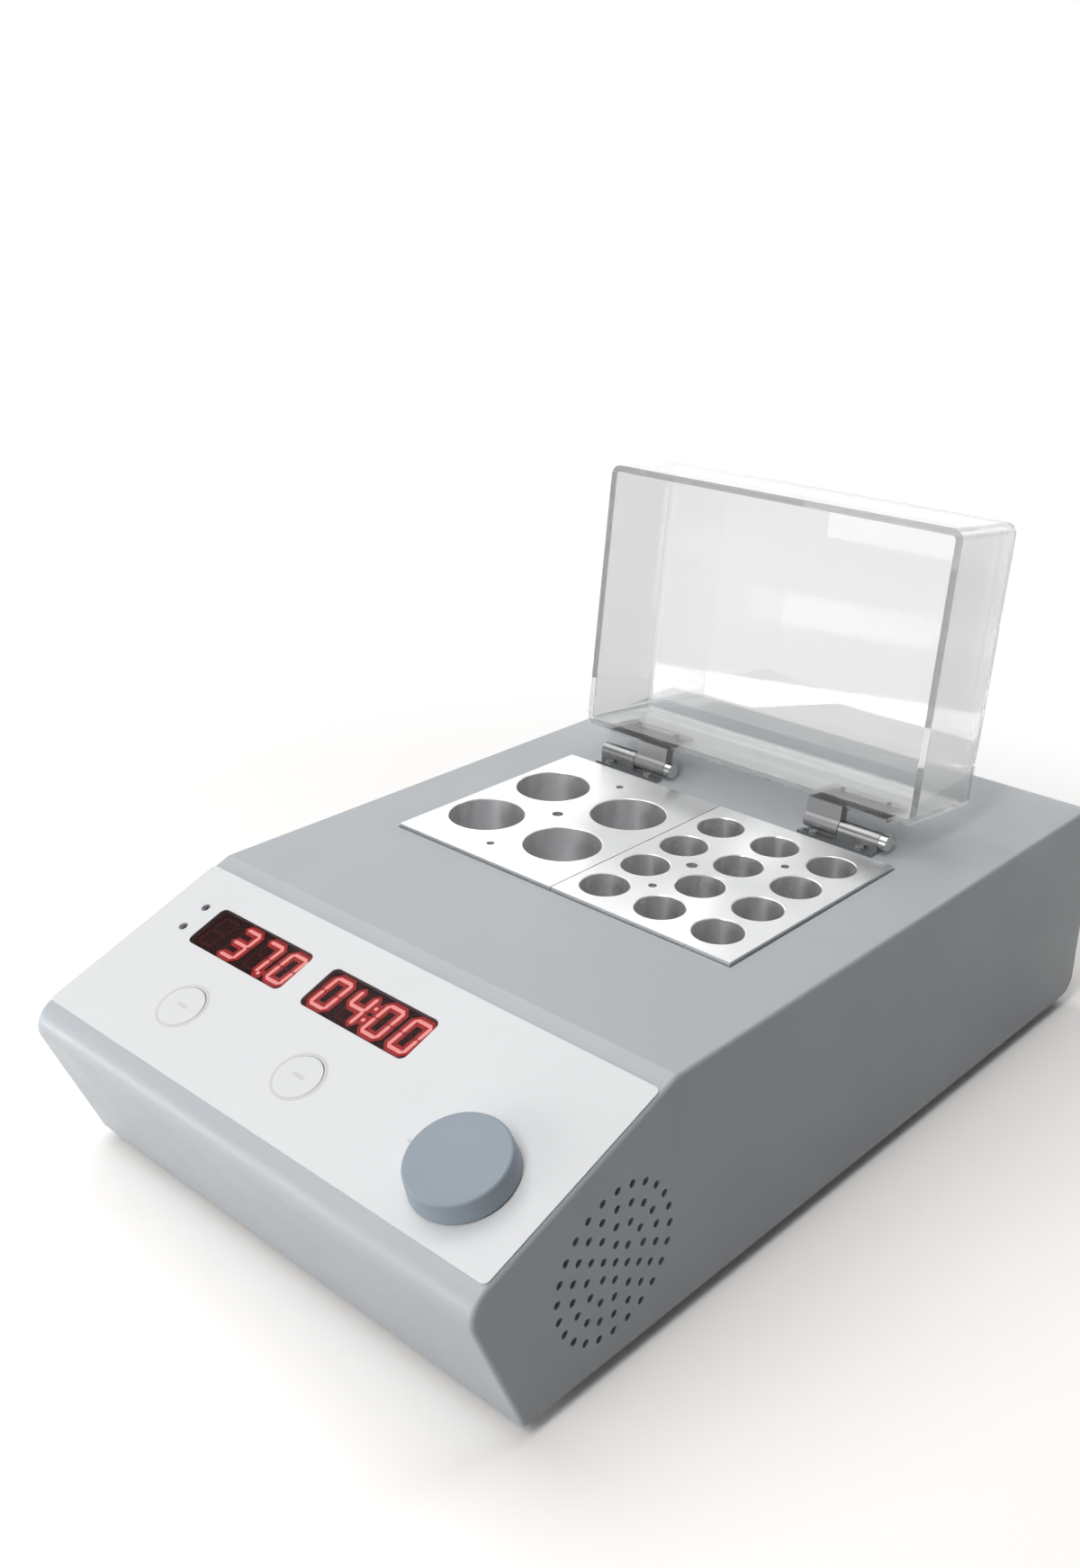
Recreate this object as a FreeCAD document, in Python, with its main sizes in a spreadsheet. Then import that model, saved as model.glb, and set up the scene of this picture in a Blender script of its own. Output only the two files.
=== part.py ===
# Dry bath incubator: bench housing, two heated blocks, hinged clear lid and sloped control panel.
# Millimetres. X runs to the right, Y to the rear and Z up from the bench.
import FreeCAD
import Part
import Sketcher
import math
import os
import re

os.makedirs("parts", exist_ok=True)
doc = FreeCAD.newDocument("dry_bath_incubator")
V = FreeCAD.Vector

# Driving sizes
SIZES = [
    # Housing
    ("foot_height", 5.0),
    ("body_width", 205.2),
    ("body_height", 83.7),
    ("body_length", 346.1),
    ("nose_y", -176.275),
    ("nose_height", 53.0),
    ("front_setback", 22.6),
    ("panel_run", 83.65),
    ("wall", 2.5),
    ("nose_radius", 9.0),
    ("rear_top_radius", 12.0),
    ("rear_bottom_radius", 8.0),
    ("edge_radius", 1.5),
    ("fit", 0.3),
    ("cut_margin", 0.2),
    # Base plate and feet
    ("base_recess", 2.0),
    ("base_thickness", 1.5),
    ("foot_radius", 8.0),
    ("foot_taper", 1.0),
    ("foot_side_inset", 18.6),
    ("foot_front_inset", 17.5),
    ("foot_rear_inset", 22.5),
    ("lug_height", 3.8),
    ("foot_screw_radius", 1.5),
    ("foot_screw_head_radius", 3.0),
    ("foot_screw_head_height", 2.0),
    ("foot_screw_recess", 3.0),
    ("slot_width", 3.0),
    ("slot_length", 40.0),
    ("slot_pitch", 8.0),
    # Heated blocks and their well
    ("block_back", 190.4),
    ("block_width", 75.8),
    ("block_depth", 95.5),
    ("block_height", 50.0),
    ("block_gap", 0.4),
    ("block_proud", 1.3),
    ("opening_gap", 0.7),
    ("well_gap", 0.8),
    ("liner_wall", 0.8),
    ("seat_gap", 0.3),
    ("large_bore", 28.8),
    ("large_pitch_x", 38.5),
    ("large_pitch_y", 37.0),
    ("large_depth", 42.0),
    ("small_bore", 17.5),
    ("small_pitch_x", 24.25),
    ("small_pitch_y", 21.9),
    ("small_depth", 42.0),
    ("pattern_left", 1.5),
    ("pattern_forward", 0.9),
    ("bore_chamfer", 0.3),
    ("lift_hole_radius", 2.1),
    ("lift_hole_depth", 15.0),
    ("probe_hole_radius", 1.5),
    ("probe_hole_y", 36.0),
    ("heater_thickness", 6.0),
    ("heater_flange", 2.0),
    ("heater_side_gap", 0.2),
    ("mat_thickness", 1.5),
    ("mat_width", 130.0),
    ("pad_thickness", 6.0),
    ("insulation", 6.0),
    ("post_radius", 4.0),
    ("post_x", 70.5),
    ("post_y", 40.0),
    ("sensor_radius", 3.0),
    ("sensor_length", 9.0),
    ("sensor_x", -20.0),
    ("cutout_radius", 8.0),
    ("cutout_height", 12.0),
    ("cutout_x", 25.0),
    ("sensor_room", 0.5),
    # Lid and hinges
    ("hinge_back", 57.1),
    ("hinge_rise", 4.1),
    ("lid_open_angle", 96.6),
    ("lid_width", 154.0),
    ("lid_depth", 105.9),
    ("lid_height", 40.5),
    ("lid_wall", 2.5),
    ("lid_corner", 4.0),
    ("lid_offset", 8.5),
    ("knuckle_radius", 3.2),
    ("pin_radius", 1.5),
    ("pin_play", 0.05),
    ("pin_head_radius", 2.9),
    ("pin_head_length", 3.0),
    ("hinge_inner", 33.5),
    ("hinge_split", 48.3),
    ("hinge_outer", 65.3),
    ("knuckle_gap", 0.3),
    ("leaf_thickness", 1.2),
    ("leaf_front", 6.7),
    ("lid_leaf_thickness", 1.5),
    ("lid_leaf_low", 1.0),
    ("lid_leaf_height", 15.0),
    ("web_gap", 0.4),
    ("lid_screw_drop", 4.0),
    ("hinge_screw_radius", 0.9),
    ("hinge_screw_head", 1.6),
    ("hinge_screw_head_height", 0.9),
    ("hinge_screw_inset", 6.0),
    ("hinge_screw_back", 4.9),
    # Control panel, in a frame that starts at the nose and climbs the slope
    ("overlay_thickness", 0.6),
    ("overlay_margin", 0.9),
    ("overlay_low", 9.4),
    ("overlay_high", 82.5),
    ("overlay_corner", 2.0),
    ("window_width", 48.4),
    ("window_height", 17.4),
    ("window_corner", 2.5),
    ("window_up", 60.6),
    ("column_side_inset", 47.4),
    ("column_pitch", 58.6),
    ("window_play", 0.1),
    ("pane_thickness", 1.6),
    ("display_width", 50.3),
    ("display_height", 19.0),
    ("display_depth", 8.0),
    ("digit_depth", 1.0),
    ("digit_pitch", 11.5),
    ("digit_width", 8.6),
    ("digit_height", 14.0),
    ("lamp_side_inset", 16.3),
    ("lamp_up", 55.8),
    ("lamp_pitch", 10.2),
    ("lamp_radius", 1.5),
    ("key_up", 31.0),
    ("key_radius", 7.9),
    ("key_flange", 1.4),
    ("key_flange_height", 1.2),
    ("key_proud", 0.2),
    ("key_travel", 0.5),
    ("key_stem_radius", 1.4),
    ("switch_side", 6.0),
    ("switch_height", 3.5),
    ("switch_well", 2.2),
    ("board_thickness", 1.6),
    ("board_left_inset", 5.3),
    ("board_right_inset", 20.6),
    ("board_low", 13.5),
    ("board_high", 77.5),
    ("boss_radius", 2.8),
    ("boss_left_inset", 9.3),
    ("boss_beyond_column", 48.3),
    ("boss_low", 19.0),
    ("boss_high", 74.0),
    ("board_screw_radius", 1.2),
    ("board_screw_head", 2.3),
    ("board_screw_head_height", 1.4),
    ("board_screw_grip", 5.0),
    # Rotary knob and its encoder
    ("knob_side_inset", 29.4),
    ("knob_up", 31.7),
    ("knob_top_radius", 15.7),
    ("knob_base_radius", 16.3),
    ("knob_height", 7.0),
    ("knob_gap", 0.8),
    ("knob_round", 1.0),
    ("knob_skirt", 2.4),
    ("knob_crown", 3.0),
    ("knob_hub_radius", 5.5),
    ("shaft_radius", 3.0),
    ("encoder_side", 12.2),
    ("encoder_height", 6.5),
    ("bushing_radius", 3.6),
    ("nut_radius", 5.8),
    ("nut_height", 2.0),
    ("push_travel", 0.5),
    ("plunger_length", 1.8),
    ("plunger_play", 0.2),
    ("encoder_floor", 1.2),
    # Side vent and fan
    ("vent_back", 59.0),
    ("vent_rise", 30.9),
    ("vent_pitch", 6.0),
    ("vent_hole", 2.7),
    ("fan_size", 50.0),
    ("fan_thickness", 15.0),
    ("fan_bore_radius", 23.6),
    ("fan_tip_radius", 21.8),
    ("fan_hub_radius", 11.0),
    ("fan_hub_gap", 0.5),
    ("fan_hub_length", 11.0),
    ("fan_strut", 3.0),
    ("fan_strut_thickness", 2.0),
    ("fan_shaft_radius", 1.5),
    ("fan_screw_radius", 1.6),
    ("fan_screw_inset", 5.0),
    ("fan_screw_grip", 1.5),
    ("fan_screw_head", 2.8),
    ("fan_screw_head_height", 1.6),
    ("blade_thickness", 1.2),
    ("blade_chord", 12.0),
    ("blade_root", 1.0),
    ("blade_angle", 38.0),
    # Power board in the rear bay
    ("power_board_side_gap", 27.6),
    ("power_board_rear_gap", 14.0),
    ("power_board_rise", 8.0),
    ("power_board_gap", 5.0),
    ("stand_radius", 3.0),
    ("stand_inset", 6.0),
    ("transformer_x", -38.0),
    ("transformer_width", 56.0),
    ("transformer_depth", 28.0),
    ("transformer_height", 42.0),
    ("coil_inset", 7.0),
    ("coil_bulge", 4.0),
    ("capacitor_x", 8.0),
    ("capacitor_pitch", 22.0),
    ("capacitor_radius", 8.0),
    ("capacitor_height", 25.0),
    ("relay_x", 30.0),
    ("relay_width", 15.5),
    ("relay_depth", 28.0),
    ("relay_height", 18.0),
    ("heat_sink_x", 56.0),
    ("heat_sink_width", 22.0),
    ("heat_sink_length", 50.0),
    ("heat_sink_height", 25.0),
    ("fin_thickness", 1.6),
    # Power inlet, fuse drawer and rocker switch on the rear face
    ("inlet_x", -52.0),
    ("inlet_up", 42.0),
    ("inlet_flange_width", 50.0),
    ("inlet_flange_height", 33.0),
    ("inlet_flange_thickness", 2.4),
    ("inlet_body_width", 28.0),
    ("inlet_body_height", 31.0),
    ("inlet_depth", 22.0),
    ("socket_width", 24.2),
    ("socket_height", 16.4),
    ("socket_depth", 17.0),
    ("socket_up", 5.0),
    ("blade_width", 4.0),
    ("blade_gauge", 2.0),
    ("blade_spacing", 14.0),
    ("blade_reach", 12.0),
    ("blade_tail", 5.0),
    ("earth_rise", 4.0),
    ("drawer_width", 23.0),
    ("drawer_height", 7.0),
    ("drawer_depth", 14.0),
    ("drawer_down", 9.6),
    ("drawer_play", 0.15),
    ("fuse_radius", 2.5),
    ("fuse_length", 20.0),
    ("inlet_screw_spread", 40.0),
    ("inlet_screw_radius", 1.5),
    ("inlet_screw_head", 2.8),
    ("inlet_screw_head_height", 1.2),
    ("inlet_screw_grip", 3.0),
    ("switch_x", 20.0),
    ("rocker_bezel_width", 15.0),
    ("rocker_bezel_height", 21.0),
    ("rocker_bezel_thickness", 1.8),
    ("rocker_body_width", 13.0),
    ("rocker_body_height", 19.0),
    ("rocker_body_depth", 16.0),
    ("rocker_cavity_width", 10.8),
    ("rocker_cavity_height", 18.0),
    ("rocker_cavity_depth", 9.0),
    ("rocker_width", 10.2),
    ("rocker_half", 7.9),
    ("rocker_pivot_depth", 4.2),
    ("rocker_crest", 3.6),
    ("rocker_valley", 2.2),
    ("rocker_belly", 2.5),
    ("rocker_tilt", 8.0),
    ("rocker_pin_radius", 1.2),
    ("rocker_pin_inset", 0.6),
]

sheet = doc.addObject("Spreadsheet::Sheet", "Sizes")
for row, (alias, size) in enumerate(SIZES, 1):
    sheet.set("A%d" % row, alias)
    sheet.set("B%d" % row, str(size))
    sheet.setAlias("B%d" % row, alias)
doc.recompute()
ALIASES = {alias for alias, size in SIZES}

# Places and angles that follow from the driving sizes
PANEL_TILT = "atan((body_height - nose_height) / panel_run)"
FRONT_TILT = "atan(front_setback / nose_height)"
TOP = "foot_height + body_height"
REAR = "nose_y + body_length"
BLOCK_Y = "nose_y + block_back"
HINGE_Y = "nose_y + block_back + hinge_back"
HINGE_Z = "foot_height + body_height + hinge_rise"
BASE_Z = "foot_height + base_recess"
FLOOR_Z = "foot_height + base_recess + base_thickness"
LEFT_COLUMN = "(column_side_inset - body_width / 2)"
RIGHT_COLUMN = "(column_side_inset - body_width / 2 + column_pitch)"
LAMP_X = "(lamp_side_inset - body_width / 2)"
KNOB_X = "(body_width / 2 - knob_side_inset)"
BOARD_LEFT = "(board_left_inset - body_width / 2)"
BOARD_RIGHT = "(body_width / 2 - board_right_inset)"
BOSS_LEFT = "(boss_left_inset - body_width / 2)"
BOSS_RIGHT = "(%s + boss_beyond_column)" % RIGHT_COLUMN
FOOT_X = "(body_width / 2 - foot_side_inset)"
FRONT_FOOT_Y = "nose_y + front_setback + foot_front_inset"
REAR_FOOT_Y = "nose_y + body_length - foot_rear_inset"
BOARD_FACE = "wall + display_depth"
HEATER_TOP = "foot_height + body_height + block_proud - block_height - seat_gap"
GROUP_WIDTH = "2 * block_width + block_gap"


def formula(text):
    """Expression text with each size name pointing at its cell."""
    def cell(word):
        return "Sizes." + word.group(0) if word.group(0) in ALIASES else word.group(0)
    return re.sub(r"[a-z_]+[0-9]*", cell, text)


def size(name):
    """Present value of one driving size."""
    return float(sheet.get(name))


def bind(item, prop, text):
    item.setExpression(prop, formula(text))


def place(item, x="0", y="0", z="0", turn=None, axis=V(1, 0, 0), prop="Placement"):
    """Position of an object, and its turn about one axis, from the sizes."""
    if turn is not None:
        setattr(item, prop, FreeCAD.Placement(V(0, 0, 0), FreeCAD.Rotation(axis, 10)))
        bind(item, prop + ".Rotation.Angle", turn)
    for key, text in (("x", x), ("y", y), ("z", z)):
        bind(item, prop + ".Base." + key, text)


def on_panel(item):
    """Puts a piece into the frame of the sloped panel: X across, Y up the slope, Z outwards."""
    place(item, "0", "nose_y", "foot_height + nose_height", turn=PANEL_TILT)


def on_lid(item):
    """Puts a piece drawn for the closed lid, about the hinge axis, at the open rest angle."""
    place(item, "0", HINGE_Y, HINGE_Z, turn="-lid_open_angle")


# Sketches and features of a body; a new outline starts as points on a small ring
START_RADIUS = 10


def new_body(name):
    body = doc.addObject("PartDesign::Body", name)
    body.Label = name
    return body


def origin_item(body, role):
    return [item for item in body.Origin.OriginFeatures if item.Role == role][0]


def sketch(body, plane, name, x="0", y="0", z="0", turn=None, axis=V(1, 0, 0)):
    item = body.newObject("Sketcher::SketchObject", name)
    item.AttachmentSupport = [(origin_item(body, plane), "")]
    item.MapMode = "FlatFace"
    place(item, x, y, z, turn, axis, prop="AttachmentOffset")
    return item


def pin_point(item, geometry, point, across, up, start):
    """Fixes a sketch point at two expressions, measured from the sketch origin."""
    key = item.addConstraint(Sketcher.Constraint("DistanceX", -1, 1, geometry, point, start.x))
    bind(item, "Constraints[%d]" % key, across)
    key = item.addConstraint(Sketcher.Constraint("DistanceY", -1, 1, geometry, point, start.y))
    bind(item, "Constraints[%d]" % key, up)


def polygon(item, points):
    """Closed outline through the given pairs of expressions, in anticlockwise order."""
    count = len(points)
    first = item.GeometryCount
    ring = []
    for k in range(count):
        angle = 2 * math.pi * k / count
        ring.append(V(START_RADIUS * math.cos(angle), START_RADIUS * math.sin(angle), 0))
    for k in range(count):
        item.addGeometry(Part.LineSegment(ring[k], ring[(k + 1) % count]), False)
    for k in range(count):
        item.addConstraint(Sketcher.Constraint("Coincident", first + k, 2, first + (k + 1) % count, 1))
    for k, (across, up) in enumerate(points):
        pin_point(item, first + k, 1, across, up, ring[k])


def rectangle(item, x, y, width, height):
    """Rectangle about a centre."""
    left, right = "(%s) - (%s) / 2" % (x, width), "(%s) + (%s) / 2" % (x, width)
    low, high = "(%s) - (%s) / 2" % (y, height), "(%s) + (%s) / 2" % (y, height)
    polygon(item, [(left, low), (right, low), (right, high), (left, high)])


def circle(item, x, y, radius):
    geometry = item.addGeometry(Part.Circle(V(1, 1, 0), V(0, 0, 1), 1), False)
    pin_point(item, geometry, 3, x, y, V(1, 1, 0))
    key = item.addConstraint(Sketcher.Constraint("Radius", geometry, 1))
    bind(item, "Constraints[%d]" % key, radius)


def pad(body, profile, length, name="Pad", both=False, back=False):
    item = body.newObject("PartDesign::Pad", name)
    item.Profile = profile
    item.SideType = "Symmetric" if both else "One side"
    item.Reversed = back
    bind(item, "Length", length)
    return item


def pocket(body, profile, length, name="Pocket", both=False, back=False):
    item = body.newObject("PartDesign::Pocket", name)
    item.Profile = profile
    item.SideType = "Symmetric" if both else "One side"
    item.Reversed = back
    bind(item, "Length", length)
    return item


def revolve(body, profile, name="Revolution", cut=False):
    item = body.newObject("PartDesign::Groove" if cut else "PartDesign::Revolution", name)
    item.Profile = profile
    item.ReferenceAxis = (profile, ["V_Axis"])
    item.Angle = 360
    return item


def fillet(body, test, radius, name="Fillet"):
    """Rounds the edges of the body's tip that pass a test."""
    doc.recompute()
    base = body.Tip
    edges = ["Edge%d" % (k + 1) for k, edge in enumerate(base.Shape.Edges) if test(edge)]
    if not edges:
        raise ValueError("no edge for " + name + " of " + body.Label)
    item = body.newObject("PartDesign::Fillet", name)
    item.Base = (base, edges)
    bind(item, "Radius", radius)
    return item


def around(body, feature, axis, count, name="PolarPattern"):
    item = body.newObject("PartDesign::PolarPattern", name)
    item.Originals = [feature]
    item.Axis = axis
    item.Angle = 360
    item.Occurrences = count
    body.Tip = item
    return item


def grid(body, feature, across, across_count, up="0", up_count=1, name="Grid"):
    """Repeats a feature along X and along Y."""
    steps = []
    for role, pitch, count in (("X_Axis", across, across_count), ("Y_Axis", up, up_count)):
        if count > 1:
            step = doc.addObject("PartDesign::LinearPattern", name + role[0])
            body.addObject(step)
            step.Direction = (origin_item(body, role), [""])
            step.Occurrences = count
            bind(step, "Length", "(%s) * %d" % (pitch, count - 1))
            steps.append(step)
    item = body.newObject("PartDesign::MultiTransform", name)
    item.Originals = [feature]
    item.Transformations = steps
    body.Tip = item
    return item


def upright(edge):
    """True for a straight edge along Z."""
    if len(edge.Vertexes) != 2:
        return False
    way = edge.Vertexes[1].Point - edge.Vertexes[0].Point
    return abs(way.x) < 1e-6 and abs(way.y) < 1e-6 and abs(way.z) > 1e-3


# Simple solids and booleans

def box(name, x, y, z, width, depth, height):
    """Box about x and y, standing on z."""
    item = doc.addObject("Part::Box", name)
    bind(item, "Length", width)
    bind(item, "Width", depth)
    bind(item, "Height", height)
    place(item, "(%s) - (%s) / 2" % (x, width), "(%s) - (%s) / 2" % (y, depth), z)
    return item


def rod(name, x, y, z, radius, length, along="z"):
    """Cylinder from a point along one axis."""
    item = doc.addObject("Part::Cylinder", name)
    bind(item, "Radius", radius)
    bind(item, "Height", length)
    turns = {
        "z": (V(0, 0, 1), "0"),
        "x": (V(0, 1, 0), "90"),
        "y": (V(1, 0, 0), "-90"),
        "-z": (V(1, 0, 0), "180"),
    }
    axis, angle = turns[along]
    place(item, x, y, z, turn=angle, axis=axis)
    return item


def join(name, *items):
    item = doc.addObject("Part::MultiFuse", name)
    item.Shapes = list(items)
    item.Label = name
    return item


def less(name, base, *tools):
    """Base with the tools cut away."""
    tool = tools[0]
    if len(tools) > 1:
        tool = join(name + "_tools", *tools)
    item = doc.addObject("Part::Cut", name)
    item.Base = base
    item.Tool = tool
    item.Label = name
    return item


def group(name, items):
    """Several equal solids that share one node."""
    item = doc.addObject("Part::Compound", name)
    item.Links = items
    item.Label = name
    return item


def screw(name, x, y, z, radius, length, head_radius, head_height, along="-z"):
    """Pan-head screw whose head stands on a point, with its shank going along an axis."""
    outward = {"-z": ("z", "z", "+"), "z": ("-z", "z", "-"), "-y": ("y", "y", "+"), "x": ("x", "x", "-")}
    shank = rod(name + "_shank", x, y, z, radius, length, {"-y": "y"}.get(along, along))
    head = rod(name + "_head", x, y, z, head_radius, head_height, outward[along][0])
    if along == "-y":
        place(shank, x, "(%s) - (%s)" % (y, length), z, turn="-90")
    if along == "x":
        place(head, "(%s) - (%s)" % (x, head_height), y, z, turn="90", axis=V(0, 1, 0))
    return join(name, head, shank)


parts = {}


def keep(item):
    parts[item.Label] = item
    return item


# Housing: one moulded shell, open below, with the sloped panel and the vent
housing = new_body("top_housing")
profile = sketch(housing, "YZ_Plane", "SideProfile")
polygon(profile, [
    ("nose_y + front_setback", "foot_height"),
    (REAR, "foot_height"),
    (REAR, TOP),
    ("nose_y + panel_run", TOP),
    ("nose_y", "foot_height + nose_height"),
])
pad(housing, profile, "body_width", "HousingBlock", both=True)


def lies_at(y, z):
    """Test for a cross edge of the housing at a place of its side view."""
    def test(edge):
        middle = edge.CenterOfMass
        return abs(middle.x) < 0.01 and abs(middle.y - y) < 0.05 and abs(middle.z - z) < 0.05
    return test


bottom = size("foot_height")
rear = size("nose_y") + size("body_length")
top = bottom + size("body_height")
nose_z = bottom + size("nose_height")
fillet(housing, lies_at(rear, bottom), "rear_bottom_radius", "RearBottomRound")

# The wall keeps its thickness on the slopes, so the inner corners are worked out from the tilts
INNER_RISE = (
    "((nose_height + (front_setback + wall / cos({f})) * tan({p}) - wall / cos({p}))"
    " / (1 + tan({f}) * tan({p})))"
).format(f=FRONT_TILT, p=PANEL_TILT)
INNER_FRONT = "(nose_y + front_setback + wall / cos({f}))".format(f=FRONT_TILT)
INNER_BREAK = "(nose_y + (body_height - wall - nose_height + wall / cos({p})) / tan({p}))".format(p=PANEL_TILT)
hollow = sketch(housing, "YZ_Plane", "Hollow")
polygon(hollow, [
    (INNER_FRONT + " + tan(%s)" % FRONT_TILT, "foot_height - 1"),
    (REAR + " - rear_bottom_radius", "foot_height - 1"),
    (REAR + " - rear_bottom_radius", "foot_height + wall"),
    (REAR + " - wall", "foot_height + rear_bottom_radius"),
    (REAR + " - wall", TOP + " - wall"),
    (INNER_BREAK, TOP + " - wall"),
    (INNER_FRONT + " - " + INNER_RISE + " * tan(%s)" % FRONT_TILT, "foot_height + " + INNER_RISE),
])
pocket(housing, hollow, "body_width - 2 * wall", "Inside", both=True)
doc.recompute()
inner_nose = hollow.Placement.multVec(hollow.Geometry[6].StartPoint)
fillet(housing, lies_at(inner_nose.y, inner_nose.z), "nose_radius - wall", "InnerNoseRound")
fillet(housing, lies_at(rear - size("wall"), top - size("wall")), "rear_top_radius - wall", "InnerRearRound")
fillet(housing, lies_at(size("nose_y"), nose_z), "nose_radius", "NoseRound")
fillet(housing, lies_at(rear, top), "rear_top_radius", "RearTopRound")


def on_side(edge):
    """True for the outline edges of both side faces, without the lower rim."""
    bounds = edge.BoundBox
    flat = bounds.XMax - bounds.XMin < 0.01 and abs(abs(bounds.XMax) - size("body_width") / 2) < 0.01
    return flat and bounds.ZMax > bottom + 0.01


fillet(housing, on_side, "edge_radius", "SideRound")

# Lugs beside the side walls take the foot screws
lugs = sketch(housing, "XY_Plane", "Lugs", z=FLOOR_Z)
LUG_WIDTH = "foot_side_inset - wall / 2 + foot_radius"
for side in (-1, 1):
    for y in (FRONT_FOOT_Y, REAR_FOOT_Y):
        middle = "%d * (%s - foot_radius + (%s) / 2)" % (side, FOOT_X, LUG_WIDTH)
        rectangle(lugs, middle, y, LUG_WIDTH, "2 * foot_radius")
pad(housing, lugs, "lug_height", "ScrewLugs")
lug_holes = sketch(housing, "XY_Plane", "LugHoles", z=FLOOR_Z)
for side in (-1, 1):
    for y in (FRONT_FOOT_Y, REAR_FOOT_Y):
        circle(lug_holes, "%d * %s" % (side, FOOT_X), y, "foot_screw_radius")
pocket(housing, lug_holes, "lug_height + 1", "LugBores", back=True)

# Bosses under the panel carry the control board
bosses = sketch(housing, "XY_Plane", "PanelBosses", y="nose_y + wall * 0.5 * sin(%s)" % PANEL_TILT,
                z="foot_height + nose_height - wall * 0.5 * cos(%s)" % PANEL_TILT, turn=PANEL_TILT)
for x in (BOSS_LEFT, BOSS_RIGHT):
    for up in ("boss_low", "boss_high"):
        circle(bosses, x, up, "boss_radius")
pad(housing, bosses, BOARD_FACE + " - wall / 2", "BoardBosses", back=True)
boss_holes = sketch(housing, "XY_Plane", "BossHoles", y="nose_y + (%s) * sin(%s)" % (BOARD_FACE, PANEL_TILT),
                    z="foot_height + nose_height - (%s) * cos(%s)" % (BOARD_FACE, PANEL_TILT), turn=PANEL_TILT)
for x in (BOSS_LEFT, BOSS_RIGHT):
    for up in ("boss_low", "boss_high"):
        circle(boss_holes, x, up, "board_screw_radius")
pocket(housing, boss_holes, "board_screw_grip", "BossBores", back=True)

# Openings of the panel: two windows, two lamps, two keys and the knob bushing
panel_cuts = sketch(housing, "XY_Plane", "PanelOpenings", y="nose_y", z="foot_height + nose_height",
                    turn=PANEL_TILT)
for x in (LEFT_COLUMN, RIGHT_COLUMN):
    rectangle(panel_cuts, x, "window_up", "window_width", "window_height")
    circle(panel_cuts, x, "key_up", "key_radius + fit")
for up in ("lamp_up", "lamp_up + lamp_pitch"):
    circle(panel_cuts, LAMP_X, up, "lamp_radius + window_play")
circle(panel_cuts, KNOB_X, "knob_up", "bushing_radius + fit")
pocket(housing, panel_cuts, "wall * 1.5", "PanelCuts")

# Well opening and the hinge screw holes of the top face
top_cuts = sketch(housing, "XY_Plane", "TopOpenings", z=TOP)
rectangle(top_cuts, "0", BLOCK_Y, GROUP_WIDTH + " + 2 * opening_gap", "block_depth + 2 * opening_gap")
HINGE_SCREW_Y = HINGE_Y + " - hinge_screw_back"
SCREW_INNER = "hinge_inner + hinge_screw_inset"
SCREW_OUTER = "hinge_outer - hinge_screw_inset"
for side in (-1, 1):
    for x in (SCREW_INNER, SCREW_OUTER):
        circle(top_cuts, "%d * (%s)" % (side, x), HINGE_SCREW_Y, "hinge_screw_radius")
pocket(housing, top_cuts, "wall * 1.5", "TopCuts")

# Openings of the rear face for the inlet with its screws and for the switch
rear_cuts = sketch(housing, "XZ_Plane", "RearOpenings", z="-(%s) + wall * 1.5" % REAR)
INLET_Z = "(foot_height + inlet_up)"
rectangle(rear_cuts, "inlet_x", INLET_Z, "inlet_body_width + 2 * fit", "inlet_body_height + 2 * fit")
rectangle(rear_cuts, "switch_x", INLET_Z, "rocker_body_width + 2 * fit", "rocker_body_height + 2 * fit")
for side in (-1, 1):
    circle(rear_cuts, "inlet_x + %d * inlet_screw_spread / 2" % side, INLET_Z, "inlet_screw_radius")
pocket(housing, rear_cuts, "wall * 3", "RearCuts", back=False)

# Vent of the right side: a centre hole and four rings of holes in front of the fan
VENT_Y = "nose_y + vent_back"
VENT_Z = FLOOR_Z + " + vent_rise"
centre = sketch(housing, "YZ_Plane", "VentCentre", VENT_Y, VENT_Z, "body_width / 2")
circle(centre, "0", "0", "vent_hole / 2")
pocket(housing, centre, "wall * 1.5", "VentHole")
for ring in (1, 2, 3, 4):
    hole = sketch(housing, "YZ_Plane", "VentRing%d" % ring, VENT_Y, VENT_Z, "body_width / 2")
    circle(hole, "0", "vent_pitch * %d" % ring, "vent_hole / 2")
    cut = pocket(housing, hole, "wall * 1.5", "VentCut%d" % ring)
    doc.recompute()
    around(housing, cut, (hole, ["N_Axis"]), 6 * ring, "VentPattern%d" % ring)
FAN_SCREW_OUT = "(fan_size / 2 - fan_screw_inset)"
fan_holes = sketch(housing, "YZ_Plane", "FanScrewHoles", VENT_Y, VENT_Z, "body_width / 2 - wall")
for i in (-1, 1):
    for j in (-1, 1):
        circle(fan_holes, "%d * %s" % (i, FAN_SCREW_OUT), "%d * %s" % (j, FAN_SCREW_OUT), "fan_screw_radius")
pocket(housing, fan_holes, "fan_screw_grip", "FanScrewBores", back=True)
keep(housing)

# Base plate with air slots, screwed to the lugs through the feet
base = new_body("base_plate")
plate = sketch(base, "XY_Plane", "Plate", z=BASE_Z)
PLATE_FRONT = INNER_FRONT + " - base_recess * tan(%s) + fit" % FRONT_TILT
PLATE_REAR = REAR + " - rear_bottom_radius - fit"
PLATE_HALF = "(body_width / 2 - wall - fit)"
polygon(plate, [
    ("-" + PLATE_HALF, PLATE_FRONT),
    (PLATE_HALF, PLATE_FRONT),
    (PLATE_HALF, PLATE_REAR),
    ("-" + PLATE_HALF, PLATE_REAR),
])
pad(base, plate, "base_thickness", "PlateBlank")
plate_holes = sketch(base, "XY_Plane", "PlateHoles", z=FLOOR_Z)
for side in (-1, 1):
    for y in (FRONT_FOOT_Y, REAR_FOOT_Y):
        circle(plate_holes, "%d * %s" % (side, FOOT_X), y, "foot_screw_radius + fit")
pocket(base, plate_holes, "base_thickness * 2", "ScrewHoles")
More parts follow.
